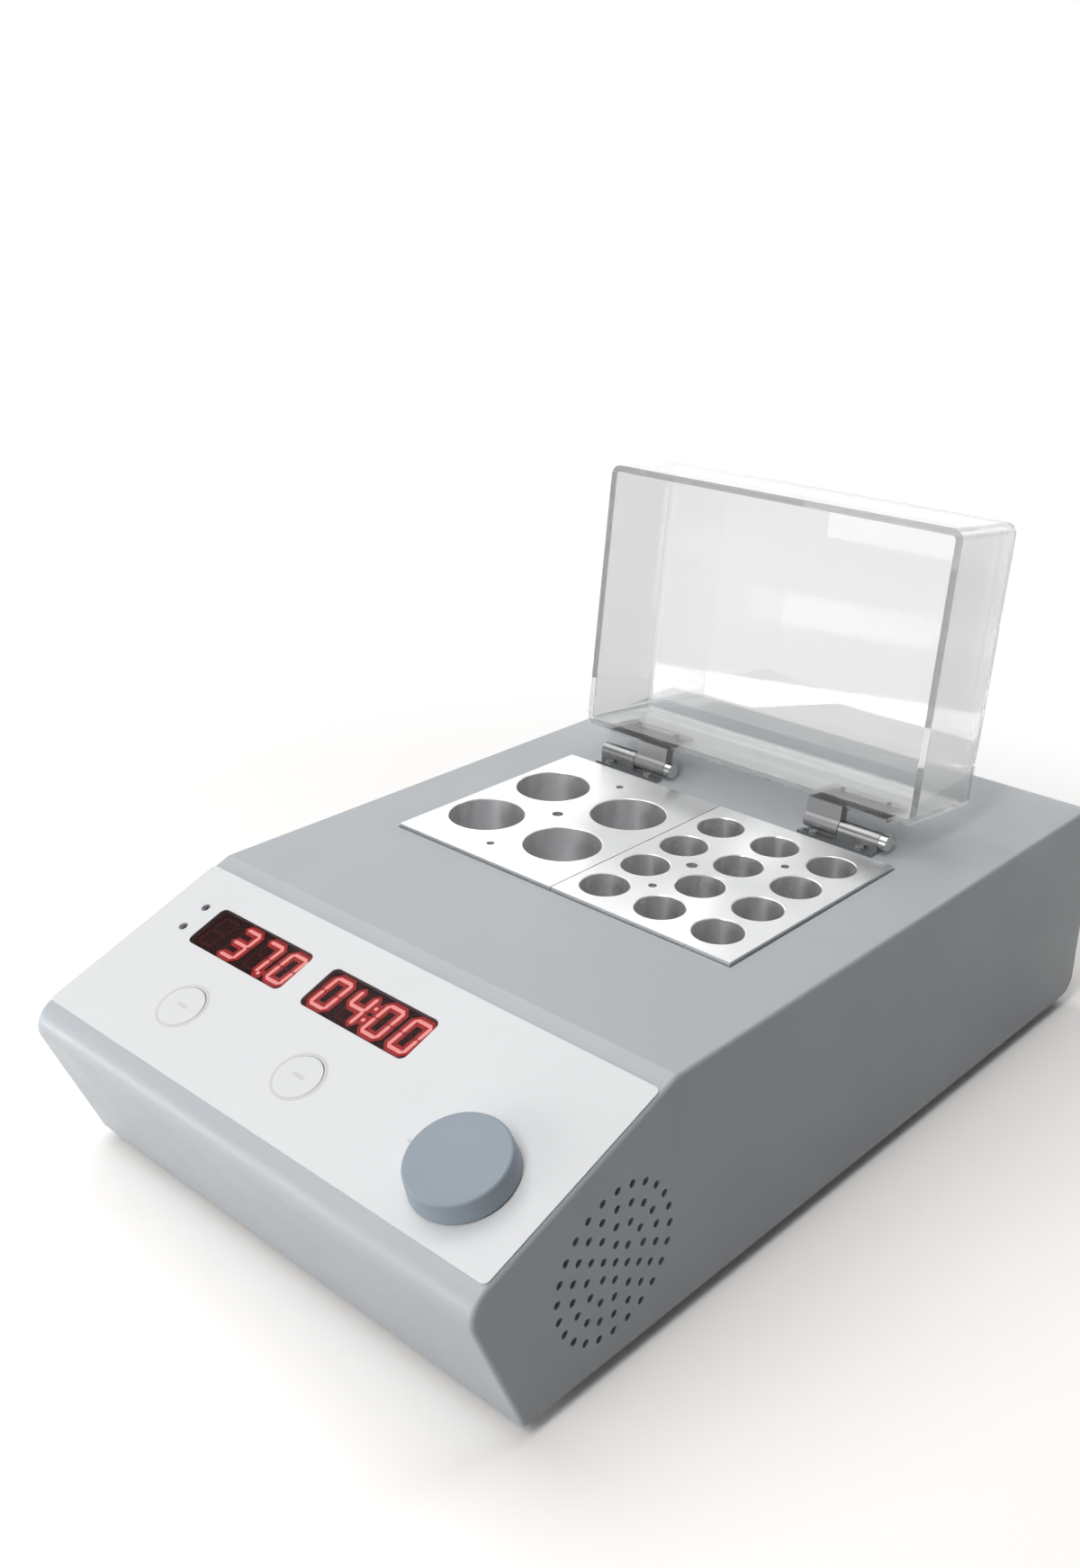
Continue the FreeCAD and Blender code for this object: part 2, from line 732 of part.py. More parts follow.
slot = sketch(base, "XY_Plane", "AirSlot", "-slot_pitch * 4.5", VENT_Y, FLOOR_Z)
rectangle(slot, "0", "0", "slot_width", "slot_length")
slot_cut = pocket(base, slot, "base_thickness * 2", "SlotCut")
doc.recompute()
grid(base, slot_cut, "slot_pitch", 10, name="AirSlots")
keep(base)

# Rubber feet, each with a sunk seat for the screw that holds it
feet = []
foot_screws = []
FOOT_PLACES = [(-1, FRONT_FOOT_Y), (1, FRONT_FOOT_Y), (-1, REAR_FOOT_Y), (1, REAR_FOOT_Y)]
for number, (side, y) in enumerate(FOOT_PLACES, 1):
    x = "%d * %s" % (side, FOOT_X)
    cone = doc.addObject("Part::Cone", "foot_cone_%d" % number)
    bind(cone, "Radius1", "foot_radius - foot_taper")
    bind(cone, "Radius2", "foot_radius")
    bind(cone, "Height", BASE_Z)
    place(cone, x, y, "0")
    seat = rod("foot_seat_%d" % number, x, y, "-1", "foot_screw_head_radius + fit", "foot_screw_recess + 1")
    bore = rod("foot_bore_%d" % number, x, y, "0", "foot_screw_radius + fit", BASE_Z + " + 1")
    feet.append(less("foot_%d" % number, cone, seat, bore))
    foot_screws.append(screw("foot_screw_%d" % number, x, y, "foot_screw_recess", "foot_screw_radius",
                             FLOOR_Z + " + lug_height - foot_screw_recess", "foot_screw_head_radius",
                             "foot_screw_head_height", along="z"))
keep(group("rubber_feet", feet))
keep(group("foot_screws", foot_screws))

# Well: liner, heater plate, heater mat and insulation under the housing's opening
LINER_INNER_X = "(%s + 2 * well_gap)" % GROUP_WIDTH
LINER_INNER_Y = "(block_depth + 2 * well_gap)"
LINER_OUTER_X = "(%s + 2 * liner_wall)" % LINER_INNER_X
LINER_OUTER_Y = "(%s + 2 * liner_wall)" % LINER_INNER_Y
HEATER_BOTTOM = HEATER_TOP + " - heater_thickness"
FLANGE_TOP = HEATER_BOTTOM + " + heater_flange"
liner = new_body("well_liner")
ring = sketch(liner, "XY_Plane", "LinerRing", "0", BLOCK_Y, FLANGE_TOP)
rectangle(ring, "0", "0", LINER_OUTER_X, LINER_OUTER_Y)
rectangle(ring, "0", "0", LINER_INNER_X, LINER_INNER_Y)
pad(liner, ring, "%s - wall - (%s)" % (TOP, FLANGE_TOP), "LinerWall")
keep(liner)

wool = new_body("well_insulation")
ring = sketch(wool, "XY_Plane", "WoolRing", "0", BLOCK_Y, HEATER_BOTTOM)
rectangle(ring, "0", "0", LINER_OUTER_X + " + 2 * insulation", LINER_OUTER_Y + " + 2 * insulation")
rectangle(ring, "0", "0", LINER_OUTER_X, LINER_OUTER_Y)
pad(wool, ring, "%s - wall - (%s)" % (TOP, HEATER_BOTTOM), "WoolWall")
keep(wool)

heater = new_body("heater_plate")
flange = sketch(heater, "XY_Plane", "Flange", "0", BLOCK_Y, HEATER_BOTTOM)
rectangle(flange, "0", "0", LINER_OUTER_X, LINER_OUTER_Y)
pad(heater, flange, "heater_flange", "HeaterFlange")
seat = sketch(heater, "XY_Plane", "Seat", "0", BLOCK_Y, FLANGE_TOP)
rectangle(seat, "0", "0", LINER_INNER_X + " - 2 * heater_side_gap", LINER_INNER_Y + " - 2 * heater_side_gap")
pad(heater, seat, "heater_thickness - heater_flange", "HeaterSeat")
keep(heater)


def layer(name, z, width, depth, height):
    """Flat layer under the heater with room for the sensor and the cut-out."""
    body = new_body(name)
    outline = sketch(body, "XY_Plane", "Outline", "0", BLOCK_Y, z)
    rectangle(outline, "0", "0", width, depth)
    circle(outline, "sensor_x", "0", "sensor_radius + sensor_room")
    circle(outline, "cutout_x", "0", "cutout_radius + sensor_room")
    pad(body, outline, height, "Sheet")
    return keep(body)


MAT_BOTTOM = HEATER_BOTTOM + " - mat_thickness"
layer("heater_mat", MAT_BOTTOM, "mat_width", "block_depth", "mat_thickness")
layer("heater_pad", MAT_BOTTOM + " - pad_thickness", "mat_width", "block_depth", "pad_thickness")
posts = []
for number, (i, j) in enumerate([(-1, -1), (1, -1), (-1, 1), (1, 1)], 1):
    posts.append(rod("heater_post_%d" % number, "%d * post_x" % i, "%s + %d * post_y" % (BLOCK_Y, j), FLOOR_Z,
                     "post_radius", "%s - (%s)" % (HEATER_BOTTOM, FLOOR_Z)))
keep(group("heater_posts", posts))
sensor = rod("temperature_sensor", "sensor_x", BLOCK_Y, HEATER_BOTTOM + " - sensor_length", "sensor_radius",
             "sensor_length")
keep(sensor)
cutout_can = rod("cutout_can", "cutout_x", BLOCK_Y, HEATER_BOTTOM + " - cutout_height / 2", "cutout_radius",
                 "cutout_height / 2")
cutout_base = rod("cutout_base", "cutout_x", BLOCK_Y, HEATER_BOTTOM + " - cutout_height", "cutout_radius * 0.8",
                  "cutout_height / 2")
keep(join("thermal_cutout", cutout_can, cutout_base))


# Heated blocks with flat-bottomed tube bores
def block(name, side, bore, depth, pitch_x, count_x, pitch_y, count_y):
    body = new_body(name)
    x = "%d * (block_width + block_gap) / 2" % side
    base_z = TOP + " + block_proud - block_height"
    outline = sketch(body, "XY_Plane", "Outline", x, BLOCK_Y, base_z)
    rectangle(outline, "0", "0", "block_width", "block_depth")
    pad(body, outline, "block_height", "Blank")
    first_x = "-pattern_left - (%s) * %d / 2" % (pitch_x, count_x - 1)
    first_y = "-pattern_forward - (%s) * %d / 2" % (pitch_y, count_y - 1)
    half = sketch(body, "XZ_Plane", "TubeProfile", "%s + (%s)" % (x, first_x), TOP + " + block_proud",
                  "-(%s + (%s))" % (BLOCK_Y, first_y))
    polygon(half, [
        ("0", "-" + depth),
        ("%s / 2" % bore, "-" + depth),
        ("%s / 2" % bore, "-bore_chamfer"),
        ("%s / 2 + bore_chamfer + cut_margin" % bore, "cut_margin"),
        ("0", "cut_margin"),
    ])
    tube = revolve(body, half, "TubeBore", cut=True)
    doc.recompute()
    grid(body, tube, pitch_x, count_x, pitch_y, count_y, "TubeBores")
    return body, x


left_block, left_x = block("left_block", -1, "large_bore", "large_depth", "large_pitch_x", 2,
                           "large_pitch_y", 2)
right_block, right_x = block("right_block", 1, "small_bore", "small_depth", "small_pitch_x", 3,
                             "small_pitch_y", 4)
lift = sketch(left_block, "XY_Plane", "LiftHole", left_x, BLOCK_Y, TOP + " + block_proud")
circle(lift, "-pattern_left", "-pattern_forward", "lift_hole_radius")
for side in (-1, 1):
    circle(lift, "-pattern_left", "%d * probe_hole_y - pattern_forward" % side, "probe_hole_radius")
pocket(left_block, lift, "lift_hole_depth", "LiftBore")
keep(left_block)
lift = sketch(right_block, "XY_Plane", "LiftHole", right_x, BLOCK_Y, TOP + " + block_proud")
circle(lift, "-pattern_left - small_pitch_x / 2", "-pattern_forward", "lift_hole_radius")
for side in (-1, 1):
    circle(lift, "%d * small_pitch_x / 2 - pattern_left" % side, "%d * small_pitch_y - pattern_forward" % side,
           "probe_hole_radius")
pocket(right_block, lift, "lift_hole_depth", "LiftBore")
keep(right_block)

# Lid: a clear box, drawn closed about the hinge axis and set open
lid = new_body("lid_cover")
LID_MID = "-lid_offset - lid_depth / 2"
outline = sketch(lid, "XY_Plane", "LidOutline", "0", LID_MID, "0")
rectangle(outline, "0", "0", "lid_width", "lid_depth")
pad(lid, outline, "lid_height", "LidBlank")
fillet(lid, upright, "lid_corner", "LidCorners")
fillet(lid, lambda edge: edge.BoundBox.ZMin > size("lid_height") - 0.01, "lid_corner * 0.5", "LidTopRound")
room = sketch(lid, "XY_Plane", "LidRoom", "0", LID_MID, "0")
rectangle(room, "0", "0", "lid_width - 2 * lid_wall", "lid_depth - 2 * lid_wall")
pocket(lid, room, "lid_height - lid_wall", "LidInside", back=True)
inner_x, inner_y = size("lid_width") / 2 - size("lid_wall"), size("lid_depth") / 2 - size("lid_wall")
lid_y = -size("lid_offset") - size("lid_depth") / 2


def inner_corner(edge):
    middle = edge.CenterOfMass
    near = abs(abs(middle.x) - inner_x) < 0.01 and abs(abs(middle.y - lid_y) - inner_y) < 0.01
    return upright(edge) and near


fillet(lid, inner_corner, "lid_corner - lid_wall", "LidInnerCorners")
LID_SCREW_Z = "lid_leaf_low + lid_leaf_height - lid_screw_drop"
lid_screw_holes = sketch(lid, "XZ_Plane", "LeafScrewHoles", "0", "0", "lid_offset - 0.5")
for side in (-1, 1):
    for x in (SCREW_INNER, SCREW_OUTER):
        circle(lid_screw_holes, "%d * (%s)" % (side, x), LID_SCREW_Z, "hinge_screw_radius")
pocket(lid, lid_screw_holes, "lid_wall + 1", "LeafScrewBores", back=True)
on_lid(lid)
keep(lid)

# Hinges: a base leaf with the outer knuckle, a lid leaf with the inner one, and a headed pin
base_leaves = []
lid_leaves = []
pins = []
base_screws = []
lid_screws = []
LEAF_WIDTH = "hinge_outer - hinge_inner"
BASE_KNUCKLE = "hinge_outer - hinge_split - knuckle_gap / 2"
LID_KNUCKLE = "hinge_split - knuckle_gap / 2 - hinge_inner"
WEB_LOW = "leaf_thickness + hinge_screw_head_height + web_gap - hinge_rise"
for side, hand in ((-1, "left"), (1, "right")):
    leaf_middle = "%d * (hinge_inner + hinge_outer) / 2" % side
    base_middle = "%d * (hinge_outer - (%s) / 2)" % (side, BASE_KNUCKLE)
    lid_middle = "%d * (hinge_inner + (%s) / 2)" % (side, LID_KNUCKLE)

    leaf = new_body(hand + "_base_leaf")
    strip = sketch(leaf, "YZ_Plane", "LeafStrip", z=leaf_middle)
    polygon(strip, [
        ("-leaf_front", "-hinge_rise"),
        ("-knuckle_radius - fit", "-hinge_rise"),
        ("-knuckle_radius - fit", "leaf_thickness - hinge_rise"),
        ("-leaf_front", "leaf_thickness - hinge_rise"),
    ])
    pad(leaf, strip, LEAF_WIDTH, "Strip", both=True)
    saddle = sketch(leaf, "YZ_Plane", "Saddle", z=base_middle)
    polygon(saddle, [
        ("-leaf_front", "-hinge_rise"),
        ("knuckle_radius", "-hinge_rise"),
        ("knuckle_radius", "0"),
        ("-knuckle_radius", "0"),
        ("-knuckle_radius", "leaf_thickness - hinge_rise"),
        ("-leaf_front", "leaf_thickness - hinge_rise"),
    ])
    pad(leaf, saddle, BASE_KNUCKLE, "SaddleBlock", both=True)
    barrel = sketch(leaf, "YZ_Plane", "Barrel", z=base_middle)
    circle(barrel, "0", "0", "knuckle_radius")
    pad(leaf, barrel, BASE_KNUCKLE, "Knuckle", both=True)
    eye = sketch(leaf, "YZ_Plane", "Eye", z=base_middle)
    circle(eye, "0", "0", "pin_radius + pin_play")
    pocket(leaf, eye, LEAF_WIDTH, "PinBore", both=True)
    screw_holes = sketch(leaf, "XY_Plane", "ScrewHoles", y="-hinge_screw_back", z="-hinge_rise")
    for x in (SCREW_INNER, SCREW_OUTER):
        circle(screw_holes, "%d * (%s)" % (side, x), "0", "hinge_screw_radius")
    pocket(leaf, screw_holes, "leaf_thickness * 2", "ScrewBores", back=True)
    place(leaf, "0", HINGE_Y, HINGE_Z)
    base_leaves.append(leaf)

    strap = new_body(hand + "_lid_leaf")
    plate = sketch(strap, "YZ_Plane", "StrapPlate", z=leaf_middle)
    rectangle(plate, "-lid_offset + lid_leaf_thickness / 2", "lid_leaf_low + lid_leaf_height / 2",
              "lid_leaf_thickness", "lid_leaf_height")
    pad(strap, plate, LEAF_WIDTH, "Plate", both=True)
    web = sketch(strap, "YZ_Plane", "Web", z=lid_middle)
    polygon(web, [
        ("-lid_offset", WEB_LOW),
        ("0", WEB_LOW),
        ("0", "lid_leaf_low + lid_leaf_thickness"),
        ("-lid_offset", "lid_leaf_low + lid_leaf_thickness"),
    ])
    pad(strap, web, LID_KNUCKLE, "WebBar", both=True)
    barrel = sketch(strap, "YZ_Plane", "Barrel", z=lid_middle)
    circle(barrel, "0", "0", "knuckle_radius")
    pad(strap, barrel, LID_KNUCKLE, "Knuckle", both=True)
    eye = sketch(strap, "YZ_Plane", "Eye", z=lid_middle)
    circle(eye, "0", "0", "pin_radius + pin_play")
    pocket(strap, eye, LEAF_WIDTH, "PinBore", both=True)
    screw_holes = sketch(strap, "XZ_Plane", "ScrewHoles", z="lid_offset")
    for x in (SCREW_INNER, SCREW_OUTER):
        circle(screw_holes, "%d * (%s)" % (side, x), LID_SCREW_Z, "hinge_screw_radius")
    pocket(strap, screw_holes, "lid_leaf_thickness * 2", "ScrewBores")
    on_lid(strap)
    lid_leaves.append(strap)

    start = "%s" % ("hinge_inner" if side > 0 else "-hinge_outer")
    shank = rod(hand + "_pin_shank", start, "0", "0", "pin_radius", LEAF_WIDTH, along="x")
    head = rod(hand + "_pin_head", "(%s) + %s" % (start, LEAF_WIDTH), "0", "0", "pin_head_radius",
               "pin_head_length", along="x")
    pin = join(hand + "_hinge_pin", shank, head)
    place(pin, "0", HINGE_Y, HINGE_Z)
    pins.append(pin)
    for number, x in enumerate((SCREW_INNER, SCREW_OUTER), 1):
        across = "%d * (%s)" % (side, x)
        base_screws.append(screw("%s_base_screw_%d" % (hand, number), across, HINGE_SCREW_Y,
                                 TOP + " + leaf_thickness", "hinge_screw_radius", "leaf_thickness + wall",
                                 "hinge_screw_head", "hinge_screw_head_height"))
        lid_screws.append(screw("%s_lid_screw_%d" % (hand, number), across, "lid_leaf_thickness - lid_offset",
                                LID_SCREW_Z, "hinge_screw_radius", "lid_leaf_thickness + lid_wall",
                                "hinge_screw_head", "hinge_screw_head_height", along="-y"))
keep(group("hinge_base_leaves", base_leaves))
keep(group("hinge_pins", pins))
keep(group("hinge_base_screws", base_screws))
keep(group("hinge_lid_leaves", lid_leaves))
hinge_lid_screws = group("hinge_lid_screws", lid_screws)
on_lid(hinge_lid_screws)
keep(hinge_lid_screws)


# Control panel pieces, in the frame of the slope
def panel_piece(item):
    on_panel(item)
    return keep(item)


def panel_solid(name, item):
    """Node of one simple solid, kept in a group so that the solid's own place stays."""
    return panel_piece(group(name, [item]))


overlay = new_body("panel_overlay")
sheet_outline = sketch(overlay, "XY_Plane", "SheetOutline", y="(overlay_low + overlay_high) / 2")
rectangle(sheet_outline, "0", "0", "body_width - 2 * overlay_margin", "overlay_high - overlay_low")
pad(overlay, sheet_outline, "overlay_thickness", "SheetBlank")
fillet(overlay, upright, "overlay_corner", "SheetCorners")
holes = sketch(overlay, "XY_Plane", "SheetHoles", z="overlay_thickness")
for x in (LEFT_COLUMN, RIGHT_COLUMN):
    rectangle(holes, x, "window_up", "window_width", "window_height")
    circle(holes, x, "key_up", "key_radius + fit")
for up in ("lamp_up", "lamp_up + lamp_pitch"):
    circle(holes, LAMP_X, up, "lamp_radius + window_play")
circle(holes, KNOB_X, "knob_up", "bushing_radius + fit")
pocket(overlay, holes, "overlay_thickness * 2", "SheetCuts")


def window_edge(edge):
    """True for the upright corners of both windows."""
    off_centre = abs(edge.CenterOfMass.y - size("window_up"))
    return upright(edge) and abs(off_centre - size("window_height") / 2) < 0.01


fillet(overlay, window_edge, "window_corner", "WindowCorners")
panel_piece(overlay)

PANE_BACK = "overlay_thickness - pane_thickness"
for name, x in (("temperature", LEFT_COLUMN), ("timer", RIGHT_COLUMN)):
    lens = new_body(name + "_lens")
    pane = sketch(lens, "XY_Plane", "PaneOutline", z=PANE_BACK)
    rectangle(pane, x, "window_up", "window_width - 2 * window_play", "window_height - 2 * window_play")
    pad(lens, pane, "pane_thickness", "Pane")
    fillet(lens, upright, "window_corner", "PaneCorners")
    panel_piece(lens)
    case = box(name + "_case", x, "window_up", "-(%s)" % BOARD_FACE, "display_width", "display_height",
               "display_depth - digit_depth")
    digits = []
    for k in range(4):
        digits.append(box("%s_digit_%d" % (name, k + 1), "%s + digit_pitch * %s" % (x, k - 1.5), "window_up",
                          "-wall - digit_depth", "digit_width", "digit_height",
                          PANE_BACK + " + wall + digit_depth"))
    panel_piece(join(name + "_display", case, *digits))

lamps = []
for number, up in enumerate(("lamp_up", "lamp_up + lamp_pitch"), 1):
    stem = rod("lamp_stem_%d" % number, LAMP_X, up, "-(%s)" % BOARD_FACE, "lamp_radius",
               "%s + overlay_thickness" % BOARD_FACE)
    dome = doc.addObject("Part::Sphere", "lamp_dome_%d" % number)
    bind(dome, "Radius", "lamp_radius")
    dome.Angle1 = 0
    place(dome, LAMP_X, up, "overlay_thickness - lamp_radius / 2")
    lamps.append(join("lamp_%d" % number, stem, dome))
panel_piece(group("indicator_leds", lamps))

board = new_body("control_board")
outline = sketch(board, "XY_Plane", "BoardOutline", z="-(%s)" % BOARD_FACE)
rectangle(outline, "(%s + %s) / 2" % (BOARD_LEFT, BOARD_RIGHT), "(board_low + board_high) / 2",
          "%s - %s" % (BOARD_RIGHT, BOARD_LEFT), "board_high - board_low")
for x in (BOSS_LEFT, BOSS_RIGHT):
    for up in ("boss_low", "boss_high"):
        circle(outline, x, up, "board_screw_radius + fit")
pad(board, outline, "board_thickness", "BoardSheet", back=True)
panel_piece(board)
screws = []
for x in (BOSS_LEFT, BOSS_RIGHT):
    for up in ("boss_low", "boss_high"):
        screws.append(screw("board_screw_%d" % (len(screws) + 1), x, up, "-(%s) - board_thickness" % BOARD_FACE,
                            "board_screw_radius", "board_thickness + board_screw_grip", "board_screw_head",
                            "board_screw_head_height", along="z"))
panel_piece(group("control_board_screws", screws))

# Push keys and the tact switches whose wells their stems enter
SWITCH_TOP = "-(%s) + switch_height" % BOARD_FACE
switches = []
for hand, x in (("left", LEFT_COLUMN), ("right", RIGHT_COLUMN)):
    key = new_body(hand + "_key")
    half = sketch(key, "XZ_Plane", "KeyProfile", x, "0", "-key_up")
    polygon(half, [
        ("0", SWITCH_TOP + " - switch_well + key_travel + fit"),
        ("key_stem_radius", SWITCH_TOP + " - switch_well + key_travel + fit"),
        ("key_stem_radius", "-wall - fit - key_flange_height"),
        ("key_radius + fit + key_flange", "-wall - fit - key_flange_height"),
        ("key_radius + fit + key_flange", "-wall - fit"),
        ("key_radius", "-wall - fit"),
        ("key_radius", "overlay_thickness + key_proud"),
        ("0", "overlay_thickness + key_proud"),
    ])
    revolve(key, half, "KeyTurned")
    panel_piece(key)
    case = box(hand + "_switch_case", x, "key_up", "-(%s)" % BOARD_FACE, "switch_side", "switch_side",
               "switch_height")
    well = rod(hand + "_switch_well", x, "key_up", SWITCH_TOP + " - switch_well", "key_stem_radius + fit",
               "switch_well + 1")
    switches.append(less(hand + "_switch", case, well))
panel_piece(group("key_switches", switches))

# Rotary encoder: case with threaded bushing, nut, push plunger, shaft and knob
KNOB_LOW = "overlay_thickness + knob_gap"
KNOB_TOP = "overlay_thickness + knob_gap + knob_height"
HUB_LOW = "overlay_thickness + nut_height + push_travel + fit"
CASE_TOP = "-(%s) + encoder_height" % BOARD_FACE
PLUNGER_LOW = "-(%s) + encoder_floor + push_travel + fit" % BOARD_FACE
case = box("encoder_case", KNOB_X, "knob_up", "-(%s)" % BOARD_FACE, "encoder_side", "encoder_side",
           "encoder_height")
bushing = rod("encoder_bushing", KNOB_X, "knob_up", CASE_TOP, "bushing_radius",
              "%s - encoder_height + overlay_thickness + nut_height" % BOARD_FACE)
bore = rod("encoder_bore", KNOB_X, "knob_up", "-(%s) + encoder_floor" % BOARD_FACE, "shaft_radius + pin_play",
           BOARD_FACE + " + overlay_thickness + nut_height")
panel_piece(less("encoder_body", join("encoder_shell", case, bushing), bore))

nut = doc.addObject("Part::Prism", "nut_blank")
nut.Polygon = 6
bind(nut, "Circumradius", "nut_radius")
bind(nut, "Height", "nut_height")
place(nut, KNOB_X, "knob_up", "overlay_thickness")
nut_bore = rod("nut_bore", KNOB_X, "knob_up", "0", "bushing_radius", "overlay_thickness + nut_height + 1")
panel_piece(less("encoder_nut", nut, nut_bore))

panel_solid("encoder_plunger", rod("plunger_rod", KNOB_X, "knob_up", PLUNGER_LOW, "shaft_radius - plunger_play",
                                   "plunger_length"))
SHAFT_LOW = PLUNGER_LOW + " + plunger_length + plunger_play"
panel_solid("encoder_shaft", rod("shaft_rod", KNOB_X, "knob_up", SHAFT_LOW, "shaft_radius",
                                 "%s - knob_crown / 2 - (%s)" % (KNOB_TOP, SHAFT_LOW)))

knob = new_body("control_knob")
half = sketch(knob, "XZ_Plane", "KnobProfile", KNOB_X, "0", "-knob_up")
polygon(half, [
    ("shaft_radius", HUB_LOW),
    ("knob_hub_radius", HUB_LOW),
    ("knob_hub_radius", KNOB_TOP + " - knob_crown"),
    ("knob_top_radius - knob_skirt", KNOB_TOP + " - knob_crown"),
    ("knob_base_radius - knob_skirt", KNOB_LOW),
    ("knob_base_radius", KNOB_LOW),
    ("knob_top_radius", KNOB_TOP),
    ("0", KNOB_TOP),
    ("0", KNOB_TOP + " - knob_crown / 2"),
    ("shaft_radius", KNOB_TOP + " - knob_crown / 2"),
])
revolve(knob, half, "KnobTurned")
knob_top = size("overlay_thickness") + size("knob_gap") + size("knob_height")
fillet(knob, lambda edge: abs(edge.BoundBox.ZMin - knob_top) < 0.01 and len(edge.Vertexes) == 1, "knob_round",
       "KnobRound")
panel_piece(knob)

# Axial fan behind the vent: frame with struts on the inner side, rotor on its shaft, and screws
FAN_X = "body_width / 2 - wall - fan_thickness / 2"
frame = new_body("fan_frame")
square = sketch(frame, "YZ_Plane", "FrameOutline")
rectangle(square, "0", "0", "fan_size", "fan_size")
circle(square, "0", "0", "fan_bore_radius")
for i in (-1, 1):
    for j in (-1, 1):
        circle(square, "%d * %s" % (i, FAN_SCREW_OUT), "%d * %s" % (j, FAN_SCREW_OUT), "fan_screw_radius")
pad(frame, square, "fan_thickness", "FrameBlank", both=True)
strut = sketch(frame, "YZ_Plane", "Strut", z="-fan_thickness / 2")
rectangle(strut, "0", "fan_bore_radius / 2 + fan_strut / 4", "fan_strut", "fan_bore_radius + fan_strut / 2")
strut_pad = pad(frame, strut, "fan_strut_thickness", "StrutBar")
doc.recompute()
around(frame, strut_pad, (strut, ["N_Axis"]), 3, "Struts")
motor = sketch(frame, "YZ_Plane", "MotorSeat", z="-fan_thickness / 2")
circle(motor, "0", "0", "fan_hub_radius")
circle(motor, "0", "0", "fan_shaft_radius + pin_play")
pad(frame, motor, "fan_strut_thickness", "MotorDisc")
eye = sketch(frame, "YZ_Plane", "ShaftEye", z="-fan_thickness / 2")
circle(eye, "0", "0", "fan_shaft_radius + pin_play")
pocket(frame, eye, "fan_strut_thickness * 3", "ShaftBore", both=True)
place(frame, FAN_X, VENT_Y, VENT_Z)
keep(frame)

rotor = new_body("fan_rotor")
HUB_START = "-fan_thickness / 2 + fan_strut_thickness + fan_hub_gap"
hub = sketch(rotor, "YZ_Plane", "Hub", z=HUB_START)
circle(hub, "0", "0", "fan_hub_radius")
pad(rotor, hub, "fan_hub_length", "HubDrum")
axle = sketch(rotor, "YZ_Plane", "Axle", z="-fan_thickness / 2")
circle(axle, "0", "0", "fan_shaft_radius")
pad(rotor, axle, "fan_strut_thickness + fan_hub_gap + 1", "AxleStub")
blade = sketch(rotor, "XZ_Plane", "Blade", "(%s) + fan_hub_length / 2" % HUB_START, turn="blade_angle",
               axis=V(0, 1, 0))
rectangle(blade, "0", "(fan_hub_radius + fan_tip_radius - blade_root) / 2", "blade_chord",
          "fan_tip_radius - fan_hub_radius + blade_root")
blade_pad = pad(rotor, blade, "blade_thickness", "BladePlate", both=True)
doc.recompute()
around(rotor, blade_pad, (origin_item(rotor, "X_Axis"), [""]), 7, "Blades")
place(rotor, FAN_X, VENT_Y, VENT_Z)
keep(rotor)

fan_screws = []
for number, (i, j) in enumerate([(-1, -1), (1, -1), (-1, 1), (1, 1)], 1):
    fan_screws.append(screw("fan_screw_%d" % number, "body_width / 2 - wall - fan_thickness",
                            "%s + %d * %s" % (VENT_Y, i, FAN_SCREW_OUT), "%s + %d * %s" % (VENT_Z, j, FAN_SCREW_OUT),
                            "fan_screw_radius", "fan_thickness + fan_screw_grip", "fan_screw_head",
                            "fan_screw_head_height", along="x"))
keep(group("fan_screws", fan_screws))

# Power board on its stands in the rear bay, with its main components
WOOL_REAR = "(%s + %s / 2 + insulation)" % (BLOCK_Y, LINER_OUTER_Y)
POWER_WIDTH = "(body_width - 2 * power_board_side_gap)"
POWER_FRONT = "(%s + power_board_gap)" % WOOL_REAR
POWER_DEPTH = "(%s - wall - power_board_rear_gap - %s)" % (REAR, POWER_FRONT)
BOARD_Y = "(%s + %s / 2)" % (POWER_FRONT, POWER_DEPTH)
TRANSFORMER_Y = "(%s + transformer_depth / 2)" % POWER_FRONT
BOARD_Z = FLOOR_Z + " + power_board_rise"
BOARD_TOP = BOARD_Z + " + board_thickness"
keep(box("power_board", "0", BOARD_Y, BOARD_Z, POWER_WIDTH, POWER_DEPTH, "board_thickness"))
stands = []
for number, (i, j) in enumerate([(-1, -1), (1, -1), (-1, 1), (1, 1)], 1):
    stands.append(rod("board_stand_%d" % number, "%d * (%s / 2 - stand_inset)" % (i, POWER_WIDTH),
                      "%s + %d * (%s / 2 - stand_inset)" % (BOARD_Y, j, POWER_DEPTH), FLOOR_Z, "stand_radius",
                      "power_board_rise"))
keep(group("power_board_stands", stands))
core = box("transformer_core", "transformer_x", TRANSFORMER_Y, BOARD_TOP, "transformer_width",
           "transformer_depth", "transformer_height")
coil = box("transformer_coil", "transformer_x", TRANSFORMER_Y, BOARD_TOP + " + coil_inset",
           "transformer_width - 2 * coil_inset", "transformer_depth + 2 * coil_bulge",
           "transformer_height - 2 * coil_inset")
keep(join("transformer", core, coil))
cans = []
for number, side in enumerate((-1, 1), 1):
    cans.append(rod("capacitor_%d" % number, "capacitor_x", "%s + %d * capacitor_pitch / 2" % (BOARD_Y, side),
                    BOARD_TOP, "capacitor_radius", "capacitor_height"))
keep(group("capacitors", cans))
keep(box("heater_relay", "relay_x", BOARD_Y, BOARD_TOP, "relay_width", "relay_depth", "relay_height"))
fins = []
web = box("heat_sink_web", "heat_sink_x", BOARD_Y, BOARD_TOP, "fin_thickness", "heat_sink_length",
          "heat_sink_height")
